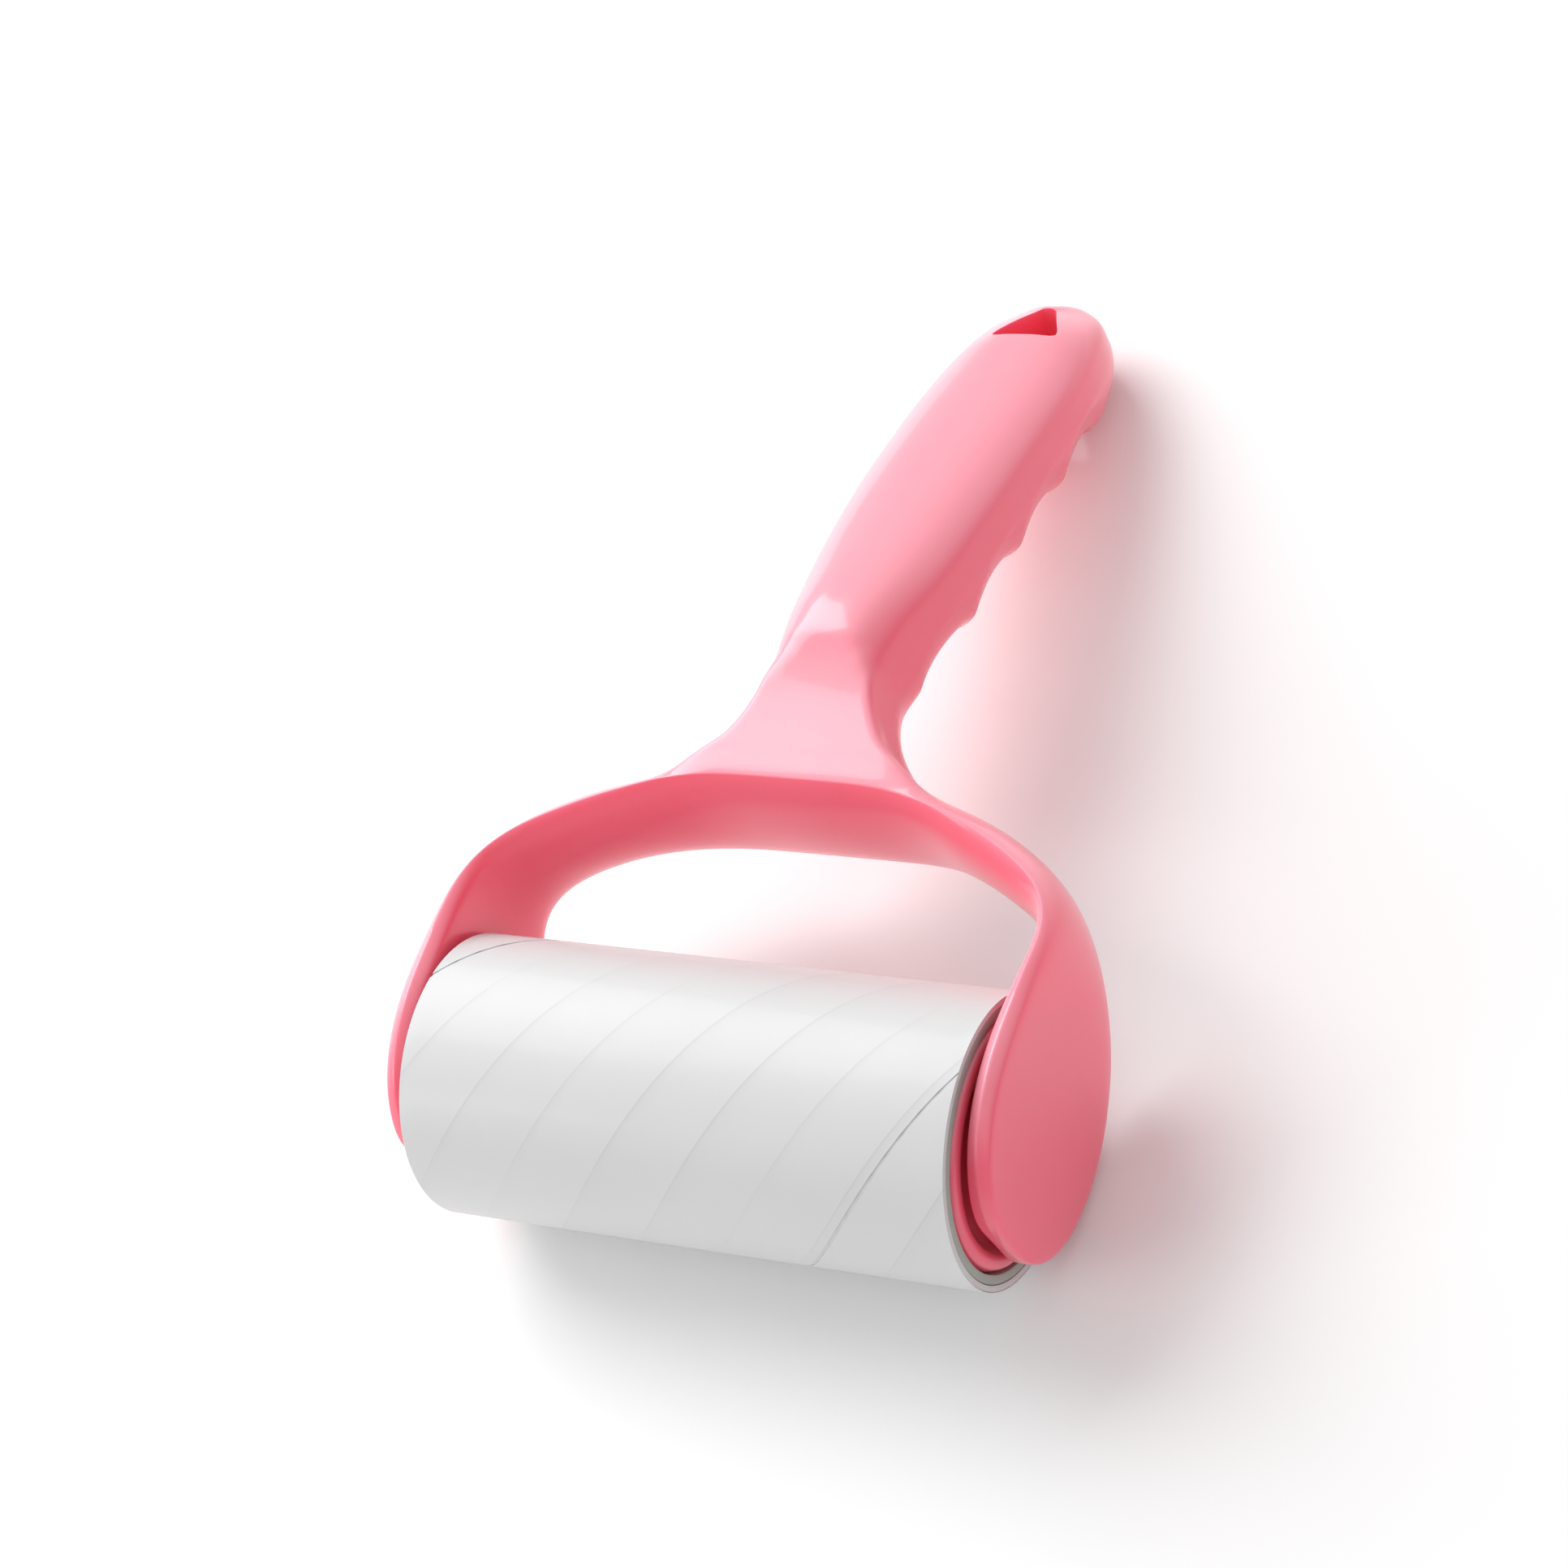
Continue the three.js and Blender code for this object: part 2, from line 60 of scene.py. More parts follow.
MOULDED_SMOOTH = 38.0
TURNED_SMOOTH = 32.0
SHEET_SMOOTH = 40.0

Point = tuple[float, float, float]
Test = Callable[[Vector], bool]
PairTest = Callable[[Vector, Vector], bool]


class Body(Enum):
    """The two moving bodies of the tool."""

    HANDLE = "handle"
    ROLLER = "roller"


class Slot(Enum):
    """The material slots of the record."""

    PINK = "pink_plastic"
    DRUM = "drum_plastic"
    BOARD = "core_board"
    PAPER = "white_paper"
    STEEL = "screw_steel"


# ---- shaping by operators -----------------------------------------------------------------


class Shaper:
    """One mesh object that is shaped in edit mode by operators.

    Args:
        name: name of the object.
    """

    def __init__(self, name: str) -> None:
        self.name = name
        self.obj: bpy.types.Object | None = None

    def start_circle(self, sides: int, radius: float, centre: Point) -> None:
        """Adds a circle in the XY plane and stays in edit mode with it selected.

        Args:
            sides: number of its vertices.
            radius: its radius.
            centre: its middle.
        """
        bpy.ops.object.select_all(action="DESELECT")
        bpy.ops.mesh.primitive_circle_add(vertices=sides, radius=radius, location=centre)
        self._begin()

    def start_box(self, size: Point, centre: Point) -> None:
        """Adds a box and stays in edit mode with it selected.

        Args:
            size: its whole sizes.
            centre: its middle.
        """
        bpy.ops.object.select_all(action="DESELECT")
        bpy.ops.mesh.primitive_cube_add(size=1, location=centre)
        self._begin()
        self.scale(size, centre)

    def _begin(self) -> None:
        self.obj = bpy.context.object
        self.obj.name = self.name
        bpy.ops.object.transform_apply(location=True, rotation=True, scale=True)
        bpy.ops.object.mode_set(mode="EDIT")
        bpy.ops.mesh.select_mode(type="VERT")
        bpy.ops.mesh.select_all(action="SELECT")

    def pick(self, test: Test) -> int:
        """Selects the vertices that pass a test of their place.

        Args:
            test: the test.

        Returns:
            How many were selected.
        """
        bpy.ops.mesh.select_mode(type="VERT")
        mesh = bmesh.from_edit_mesh(self.obj.data)
        count = 0
        for vertex in mesh.verts:
            vertex.select = test(vertex.co)
            count += vertex.select
        mesh.select_flush(True)
        mesh.select_flush(False)
        bmesh.update_edit_mesh(self.obj.data)
        return count

    def _pick_parts(self, mode: str, test: Callable[[bmesh.types.BMFace | bmesh.types.BMEdge], bool]) -> int:
        """Selects the faces or the edges that pass a test.

        Args:
            mode: FACE or EDGE.
            test: the test of a face or an edge.

        Returns:
            How many were selected.
        """
        bpy.ops.mesh.select_mode(type=mode)
        mesh = bmesh.from_edit_mesh(self.obj.data)
        mesh.normal_update()
        parts = mesh.faces if mode == "FACE" else mesh.edges
        for part in parts:
            part.select_set(False)
        found = [part for part in parts if test(part)]
        for part in found:
            part.select_set(True)
        bmesh.update_edit_mesh(self.obj.data)
        return len(found)

    def pick_faces(self, test: PairTest) -> int:
        """Selects the faces that pass a test of their middle and normal.

        Args:
            test: the test.

        Returns:
            How many were selected.
        """
        return self._pick_parts("FACE", lambda face: test(face.calc_center_median(), face.normal))

    def pick_edges(self, test: PairTest) -> int:
        """Selects the edges that pass a test of their two ends.

        Args:
            test: the test.

        Returns:
            How many were selected.
        """
        return self._pick_parts("EDGE", lambda edge: test(edge.verts[0].co, edge.verts[1].co))

    def pick_border(self, above: float = -math.inf) -> int:
        """Selects every open edge, or only those above a height.

        Args:
            above: the height.

        Returns:
            How many were selected.
        """
        return self._pick_parts(
            "EDGE", lambda edge: edge.is_boundary and min(vertex.co.z for vertex in edge.verts) > above
        )

    def scale(self, value: Point, centre: Point) -> None:
        """Scales the selection about a point.

        Args:
            value: factors along X, Y and Z.
            centre: the fixed point.
        """
        bpy.ops.transform.resize(value=value, center_override=centre)

    def turn(self, angle: float, axis: str, centre: Point) -> None:
        """Turns the selection about an axis, right-handed.

        Args:
            angle: angle in radians.
            axis: X, Y or Z.
            centre: a point on the axis.
        """
        bpy.ops.transform.rotate(value=-angle, orient_axis=axis, center_override=centre)

    def move(self, offset: Sequence[float]) -> None:
        """Moves the selection.

        Args:
            offset: the way to move.
        """
        bpy.ops.transform.translate(value=offset)

    def extrude(self, offset: Point) -> None:
        """Extrudes the selection and moves the new part.

        Args:
            offset: the way to move.
        """
        bpy.ops.mesh.extrude_region_move(TRANSFORM_OT_translate={"value": offset})

    def crease(self, amount: float) -> None:
        """Sets the selected edges' crease for subdivision.

        Args:
            amount: from 0, soft, to 1, sharp.
        """
        bpy.ops.transform.edge_crease(value=amount)

    def leave(self) -> bpy.types.Object:
        """Makes the normals point out and leaves edit mode.

        Returns:
            The object.
        """
        bpy.ops.mesh.select_mode(type="VERT")
        bpy.ops.mesh.select_all(action="SELECT")
        bpy.ops.mesh.normals_make_consistent(inside=False)
        bpy.ops.object.mode_set(mode="OBJECT")
        return self.obj


class Tube(Shaper):
    """A row of rings, stacked far from the work and then brought one by one to their places.

    Args:
        name: name of the object.
        sides: vertices in a ring.
        rings: number of rings.
    """

    def __init__(self, name: str, sides: int, rings: int) -> None:
        super().__init__(name)
        self.rings = rings
        self.start_circle(sides, 1.0, (0, 0, STACK_START))
        for _ in range(rings - 1):
            self.extrude((0, 0, STACK_PITCH))

    def level(self, index: int) -> float:
        """The height at which a ring waits.

        Args:
            index: number of the ring.

        Returns:
            Its height.
        """
        return STACK_START + STACK_PITCH * index

    def pick_ring(self, index: int, test: Test = lambda spot: True) -> int:
        """Selects a waiting ring, or the part of it that passes a test of its place.

        Args:
            index: number of the ring.
            test: the test.

        Returns:
            How many vertices were selected.
        """
        height = self.level(index)
        return self.pick(lambda spot: abs(spot.z - height) < 1 and test(spot))


def focus(obj: bpy.types.Object) -> None:
    """Makes an object the only selected one and the active one.

    Args:
        obj: the object.
    """
    bpy.ops.object.select_all(action="DESELECT")
    obj.select_set(True)
    bpy.context.view_layer.objects.active = obj


def shade(obj: bpy.types.Object, degrees: float) -> None:
    """Shades an object smooth where its faces meet at less than an angle.

    Args:
        obj: the object.
        degrees: the angle.
    """
    focus(obj)
    bpy.ops.object.shade_smooth_by_angle(angle=math.radians(degrees))


def finish_modifier(obj: bpy.types.Object, kind: str, **settings: object) -> None:
    """Adds a modifier to an object and applies it.

    Args:
        obj: the object.
        kind: the modifier's type.
        settings: its settings.
    """
    focus(obj)
    modifier = obj.modifiers.new(kind, kind)
    for key, value in settings.items():
        setattr(modifier, key, value)
    bpy.ops.object.modifier_apply(modifier=modifier.name)


def copied(obj: bpy.types.Object, name: str) -> bpy.types.Object:
    """A copy with a mesh of its own.

    Args:
        obj: the object to copy.
        name: the copy's name.

    Returns:
        The copy.
    """
    twin = obj.copy()
    twin.data = obj.data.copy()
    twin.name = name
    bpy.context.scene.collection.objects.link(twin)
    return twin


def discarded(obj: bpy.types.Object) -> None:
    """Removes a helper object.

    Args:
        obj: the object.
    """
    bpy.data.objects.remove(obj, do_unlink=True)


def roll_middle() -> Vector:
    """The middle of the roll in the row frame.

    Returns:
        Its place in metres.
    """
    low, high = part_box("adhesive_roll")
    return Vector([(a + b) / 2 for a, b in zip(low, high)])


def lay_down(obj: bpy.types.Object) -> bpy.types.Object:
    """Brings a piece from the upright frame in millimetres to the row frame in metres.

    Args:
        obj: the piece.

    Returns:
        The same piece, with its place in its mesh.
    """
    focus(obj)
    obj.rotation_euler = (-LYING_ANGLE, 0, 0)
    obj.scale = (MILLIMETRE,) * 3
    obj.location = roll_middle()
    bpy.ops.object.transform_apply(location=True, rotation=True, scale=True)
    return obj


def dress(obj: bpy.types.Object, slot: Slot, material: bpy.types.Material) -> None:
    """Gives a piece its material and logs the name of its slot.

    Args:
        obj: the piece.
        slot: its material slot.
        material: its material.
    """
    obj.data.materials.clear()
    obj.data.materials.append(material)
    LOG.info("%s: dressed, slot %s", obj.name, slot.value)


def hand_over(obj: bpy.types.Object, body: Body, slot: Slot, material: bpy.types.Material, node: str) -> None:
    """Dresses a finished piece and gives it to the frame.

    Args:
        obj: the piece.
        body: the body it rides on.
        slot: its material slot.
        material: its material.
        node: the CAD node it stands for.
    """
    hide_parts(node)
    dress(obj, slot, material)
    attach(obj, body.value)
    triangles = sum(len(face.vertices) - 2 for face in obj.data.polygons)
    LOG.info("%s: %d triangles", obj.name, triangles)


def turned(name: str, profile: Sequence[tuple[float, float]], sides: int) -> bpy.types.Object:
    """A piece of revolution about X, made ring by ring.

    Args:
        name: name of the piece.
        profile: (place along X, radius) of each ring; the last ring joins the first one.
        sides: vertices in a ring.

    Returns:
        The object, in the upright frame.
    """
    shaper = Shaper(name)
    start, radius = profile[0]
    shaper.start_circle(sides, radius, (0, 0, start))
    for (before, last), (place, size) in zip(profile, profile[1:]):
        shaper.extrude((0, 0, place - before))
        shaper.scale((size / last, size / last, 1), (0, 0, place))
    shaper.pick_border()
    bpy.ops.mesh.bridge_edge_loops()
    bpy.ops.mesh.select_all(action="SELECT")
    shaper.turn(math.pi / 2, "Y", ORIGIN)
    obj = shaper.leave()
    shade(obj, TURNED_SMOOTH)
    return obj


def rounded(corners: Sequence[tuple[float, float, float]], steps: int) -> list[tuple[float, float]]:
    """A profile whose corners are rounded.

    Args:
        corners: (place, radius, rounding) of each corner of a closed outline.
        steps: points of each rounding, less one.

    Returns:
        The points of the outline.
    """
    points: list[tuple[float, float]] = []
    count = len(corners)
    for index, (x, r, size) in enumerate(corners):
        here = Vector((x, r))
        if size <= 0:
            points.append((x, r))
            continue
        before = Vector(corners[index - 1][:2]) - here
        after = Vector(corners[(index + 1) % count][:2]) - here
        start = here + before.normalized() * min(size, before.length * 0.48)
        end = here + after.normalized() * min(size, after.length * 0.48)
        for step in range(steps + 1):
            t = step / steps
            spot = start * (1 - t) ** 2 + here * 2 * t * (1 - t) + end * t**2
            points.append((spot.x, spot.y))
    return points


# ---- shared shader groups -----------------------------------------------------------------


class Nodes:
    """A short way to build a shader tree or a shared group.

    Args:
        tree: the node tree.
    """

    def __init__(self, tree: bpy.types.NodeTree) -> None:
        self.tree = tree

    def add(self, kind: str, inputs: dict | None = None, **settings: object) -> bpy.types.Node:
        """Adds a node, sets its fields and fills its inputs.

        Args:
            kind: the node's type without its prefix.
            inputs: value or output socket for each named or numbered input.
            settings: fields of the node.

        Returns:
            The node.
        """
        node = self.tree.nodes.new("ShaderNode" + kind)
        for key, value in settings.items():
            setattr(node, key, value)
        for key, value in (inputs or {}).items():
            if isinstance(value, bpy.types.NodeSocket):
                self.tree.links.new(value, node.inputs[key])
            else:
                node.inputs[key].default_value = value
        return node

    def math(self, operation: str, first: object, second: object = 0.0, third: object = 0.0) -> object:
        """A Math node.

        Args:
            operation: its operation.
            first: its first input.
            second: its second input.
            third: its third input.

        Returns:
            Its output socket.
        """
        return self.add("Math", {0: first, 1: second, 2: third}, operation=operation).outputs[0]

    def blend(self, share: object, first: object, second: object) -> object:
        """A mix of two colours.

        Args:
            share: share of the second colour.
            first: the first colour.
            second: the second colour.

        Returns:
            The colour socket.
        """
        node = self.add("Mix", {0: share, 6: first, 7: second}, data_type="RGBA")
        return node.outputs[2]

    def deliver(self, sink: bpy.types.Node, *values: bpy.types.NodeSocket) -> None:
        """Joins sockets to the outputs of a group, in their order.

        Args:
            sink: the group's output node.
            values: the sockets.
        """
        for value, socket in zip(values, sink.inputs):
            self.tree.links.new(value, socket)

    def surface(self, inputs: dict) -> None:
        """Ends a material with its surface.

        Args:
            inputs: inputs of the Principled shader.
        """
        shader = self.add("BsdfPrincipled", inputs)
        self.add("OutputMaterial", {"Surface": shader.outputs[0]})


def new_material(
    name: str, group: bpy.types.NodeTree, inputs: dict[str, float] | None = None
) -> tuple[bpy.types.Material, Nodes, bpy.types.Node]:
    """A new material that holds only a shared group.

    Args:
        name: its name.
        group: the group.
        inputs: values of the group's inputs.

    Returns:
        The material, its builder and the group's node.
    """
    material = bpy.data.materials.new(name)
    material.use_nodes = True
    material.node_tree.nodes.clear()
    build = Nodes(material.node_tree)
    node = build.tree.nodes.new("ShaderNodeGroup")
    node.node_tree = group
    for key, value in (inputs or {}).items():
        node.inputs[key].default_value = value
    return material, build, node


def new_group(name: str, inputs: dict[str, float], outputs: Sequence[str]) -> tuple[Nodes, object, object]:
    """A new shared shader group.

    Args:
        name: its name.
        inputs: default of each float input.
        outputs: name of each float output.

    Returns:
        The builder, the group's input node and its output node.
    """
    tree = bpy.data.node_groups.new(name, "ShaderNodeTree")
    for key, value in inputs.items():
        socket = tree.interface.new_socket(key, in_out="INPUT", socket_type="NodeSocketFloat")
        socket.default_value = value
    for key in outputs:
        tree.interface.new_socket(key, in_out="OUTPUT", socket_type="NodeSocketFloat")
    return Nodes(tree), tree.nodes.new("NodeGroupInput"), tree.nodes.new("NodeGroupOutput")


def moulding_group() -> bpy.types.NodeTree:
    """Flow marks, fine orange peel, faint scratches and dust of a glossy moulding, with a mask of painted
    light and shade.

    Returns:
        The group, with masks "Flow" and "Haze", the height "Peel", and as its fourth output a painted shade
        mask: 0 on faces turned up towards the key lamp, 1 on faces turned away from it.
    """
    build, source, sink = new_group(
        "moulding_marks_and_painted_shade",
        {"Flow Scale": 30.0, "Peel Scale": 900.0, "Scratch Scale": 120.0},
        ("Flow", "Haze", "Peel", "Depth"),
    )
    where = build.add("TexCoord").outputs["Object"]
    stretched = build.add("Mapping", {0: where, 3: (1.0, 0.35, 1.0)}).outputs[0]
    flow_scale, peel_scale, scratch_scale = list(source.outputs)[:3]
    flow = build.add("TexNoise", {"Vector": stretched, "Scale": flow_scale, "Detail": 3.0, "Distortion": 0.6})
    peel = build.add("TexNoise", {"Vector": where, "Scale": peel_scale, "Detail": 2.0})
    rubbed = build.add("Mapping", {0: where, 2: (0.3, 0.5, 0.7), 3: (1.0, 14.0, 9.0)}).outputs[0]
    lines = build.add("TexNoise", {"Vector": rubbed, "Scale": scratch_scale, "Detail": 4.0, "Roughness": 0.7})
    scratch = build.add("ValToRGB", {0: lines.outputs[0]})
    scratch.color_ramp.elements[0].position = 0.62
    scratch.color_ramp.elements[1].position = 0.74
    spots = build.add("TexVoronoi", {"Vector": where, "Scale": 420.0})
    specks = build.math("LESS_THAN", spots.outputs[0], 0.045)
    haze = build.math("MAXIMUM", scratch.outputs[0], specks)
    height = build.math("SUBTRACT", peel.outputs[0], build.math("MULTIPLY", haze, 0.25))
    # Painted light and shade: how far a face turns up and to the rear, towards the key lamp, picks the pale
    # colour, and turning away picks the deep one. The value named depth holds this painted shade, not a
    # thickness.
    facing = build.add("VectorMath", {0: build.add("TexCoord").outputs["Normal"], 1: (-0.12, 0.36, 0.925)})
    facing.operation = "DOT_PRODUCT"
    depth = build.add("MapRange", {0: facing.outputs["Value"], 1: 0.95, 2: 0.25, 3: 0.0, 4: 1.0})
    depth.interpolation_type = "SMOOTHSTEP"
    build.deliver(sink, flow.outputs[0], haze, height, depth.outputs[0])
    return build.tree


def paper_group() -> bpy.types.NodeTree:
    """Fibre mottling and the slanted sheet edges that show through wound paper.

    Returns:
        The group, with masks "Fibre" and "Edge" and the height "Relief".
    """
    build, source, sink = new_group(
        "wound_paper",
        {"Axis Y": 0.0, "Axis Z": 0.0, "Slant": 60.0, "Sheets": 7.0, "Phase": 0.0},
        ("Fibre", "Edge", "Relief", "Band"),
    )
    where = build.add("TexCoord").outputs["Object"]
    split = build.add("SeparateXYZ", {0: where})
    y = build.math("SUBTRACT", split.outputs[1], source.outputs["Axis Y"])
    z = build.math("SUBTRACT", split.outputs[2], source.outputs["Axis Z"])
    angle = build.math("ARCTAN2", z, y)
    slanted = build.math("MULTIPLY_ADD", split.outputs[0], source.outputs["Slant"], angle)
    turns = build.math("DIVIDE", slanted, 2 * math.pi)
    sheet = build.math("MULTIPLY_ADD", turns, source.outputs["Sheets"], source.outputs["Phase"])
    saw = build.math("FRACT", sheet)
    wobble = build.add("TexNoise", {"Vector": where, "Scale": 18.0, "Detail": 1.0})
    near = build.add("MapRange", {0: saw, 1: 0.0, 2: 0.022, 3: 1.0, 4: 0.0}).outputs[0]
    line = build.math("MULTIPLY", near, build.math("POWER", wobble.outputs[0], 1.5))
    step = build.math("SUBTRACT", 1.0, saw)
    cell = build.math("FLOOR", sheet)
    pick = build.add("TexWhiteNoise", {"W": cell}, noise_dimensions="1D")
    strength = build.math("MULTIPLY_ADD", pick.outputs[0], 0.75, 0.25)
    edge = build.math("MULTIPLY", line, strength)
    fibre = build.add("TexNoise", {"Vector": where, "Scale": 260.0, "Detail": 8.0, "Roughness": 0.75})
    cloud = build.add("TexNoise", {"Vector": where, "Scale": 42.0, "Detail": 3.0})
    mottle = build.math("MULTIPLY_ADD", cloud.outputs[0], 0.5, build.math("MULTIPLY", fibre.outputs[0], 0.5))
    ridge = build.math("POWER", step, 24.0)
    raised = build.math("MULTIPLY_ADD", ridge, 0.6, build.math("MULTIPLY", mottle, 0.4))
    soft = build.math("MULTIPLY", pick.outputs[0], build.math("POWER", step, 2.0))
    build.deliver(sink, mottle, edge, raised, soft)
    return build.tree


MOULDING = moulding_group()
WOUND = paper_group()


@dataclass(frozen=True)
class Plastic:
    """A moulded plastic.

    Args:
        name: the material's name.
        light: its colour with painted light, on faces turned towards the key lamp.
        deep: its colour in painted shade, on faces turned away from the key lamp.
        roughness: roughness of the surface.
        coat: weight of the clear gloss.
        glow: weight of the light that travels inside it.
    """

    name: str
    light: tuple[float, float, float]
    deep: tuple[float, float, float]
    roughness: float
    coat: float
    glow: float

    def make(self) -> bpy.types.Material:
        """Builds the material.

        Returns:
            The material.
        """
        material, build, marks = new_material(self.name, MOULDING)
        # The mix from the pale to the deep colour is a painted shade, from how each face turns to the key
        # lamp, plus a random drift of flow marks.
        drift = build.math("MULTIPLY_ADD", marks.outputs["Flow"], 0.24, -0.12)
        painted_shade_and_flow = build.add("Clamp", {0: build.math("ADD", marks.outputs["Depth"], drift)}).outputs[0]
        colour = build.blend(painted_shade_and_flow, (*self.light, 1), (*self.deep, 1))
        rough = build.math("MULTIPLY_ADD", marks.outputs["Haze"], 0.12, self.roughness)
        bump = build.add("Bump", {"Height": marks.outputs["Peel"], "Strength": 0.05, "Distance": 0.0002})
        build.surface(
            {
                "Base Color": colour,
                "Roughness": rough,
                "Normal": bump.outputs[0],
                "Coat Weight": self.coat,
                "Coat Roughness": 0.06,
                "Subsurface Weight": self.glow,
                "Subsurface Radius": (0.012, 0.004, 0.005),
                "Subsurface Scale": 0.6,
                "IOR": 1.5,
            }
        )
        return material


@dataclass(frozen=True)
class Paper:
    """Coated or raw paper of the refill.

    Args:
        name: the material's name.
        light: its pale colour.
        deep: its darker colour.
        roughness: roughness of the surface.
        coat: weight of the glossy coating.
        relief: strength of its relief.
        edge: strength of the sheet edges that show through.
    """

    name: str
    light: tuple[float, float, float]
    deep: tuple[float, float, float]
    roughness: float
    coat: float
    relief: float
    edge: float

    def make(self) -> bpy.types.Material:
        """Builds the material.

        Returns:
            The material.
        """
        axis = roll_middle()
        material, build, wound = new_material(self.name, WOUND, {"Axis Y": axis.y, "Axis Z": axis.z})
        tone = build.blend(wound.outputs["Fibre"], (*self.light, 1), (*self.deep, 1))
        band = build.math("MULTIPLY", wound.outputs["Band"], 0.12)
        soft = build.math("MULTIPLY", band, self.edge)
        darker = build.math("MULTIPLY_ADD", wound.outputs["Edge"], self.edge, soft)
        colour = build.blend(darker, tone, tuple(0.55 * part for part in self.deep) + (1.0,))
        height = wound.outputs["Relief"]
        bump = build.add("Bump", {"Height": height, "Strength": self.relief, "Distance": 0.0004})
        rough = build.math("MULTIPLY_ADD", wound.outputs["Fibre"], 0.15, self.roughness)
        build.surface(
            {
                "Base Color": colour,
                "Roughness": rough,
                "Normal": bump.outputs[0],
                "Coat Weight": self.coat,
                "Coat Roughness": 0.12,
                "Subsurface Weight": 0.05,
                "Subsurface Radius": (0.002, 0.002, 0.002),
            }
        )
        return material


@dataclass(frozen=True)
class Steel:
    """Zinc-plated steel of the screws.

    Args:
        name: the material's name.
        colour: its colour.
        roughness: roughness of the surface.
    """

    name: str
    colour: tuple[float, float, float]
    roughness: float

    def make(self) -> bpy.types.Material:
        """Builds the material.

        Returns:
            The material.
        """
        scales = {"Flow Scale": 300.0, "Scratch Scale": 600.0}
        material, build, marks = new_material(self.name, MOULDING, scales)
        dull = tuple(0.7 * part for part in self.colour)
        colour = build.blend(marks.outputs["Flow"], (*self.colour, 1), (*dull, 1))
        rough = build.math("MULTIPLY_ADD", marks.outputs["Haze"], 0.25, self.roughness)
        bump = build.add("Bump", {"Height": marks.outputs["Peel"], "Strength": 0.1, "Distance": 0.0001})
        build.surface({"Base Color": colour, "Metallic": 1.0, "Roughness": rough, "Normal": bump.outputs[0]})
        return material


# ---- handle -------------------------------------------------------------------------------


def smooth_at(rows: Sequence[Sequence[float]], key: int, value: float) -> list[float]:
    """A smooth line through a table's rows, read at a value of one column.

    Args:
        rows: the table, rising in that column.
        key: number of the column.
        value: the value to read at.

    Returns:
        A row between the table's rows.
    """
    last = len(rows) - 2
    index = max(0, min(last, sum(1 for row in rows[1:-1] if row[key] <= value)))
    a, b = rows[index], rows[index + 1]
    span = b[key] - a[key]
    t = (value - a[key]) / span
    before = rows[max(0, index - 1)]
    after = rows[min(len(rows) - 1, index + 2)]
    result = []
    for column in range(len(a)):
        slope_a = (b[column] - before[column]) / (b[key] - before[key])
        slope_b = (after[column] - a[column]) / (after[key] - a[key])
        result.append(
            a[column] * (2 * t**3 - 3 * t**2 + 1)
            + slope_a * span * (t**3 - 2 * t**2 + t)
            + b[column] * (3 * t**2 - 2 * t**3)
            + slope_b * span * (t**3 - t**2)
        )
    return result


@dataclass(frozen=True)
class YokeStation:
    """One section of the yoke: its middle, half sizes, and how boxy it is from 0 to 1."""

    x: float
    y: float
    z: float
    half_width: float
    half_thickness: float
    box: float = 0.0


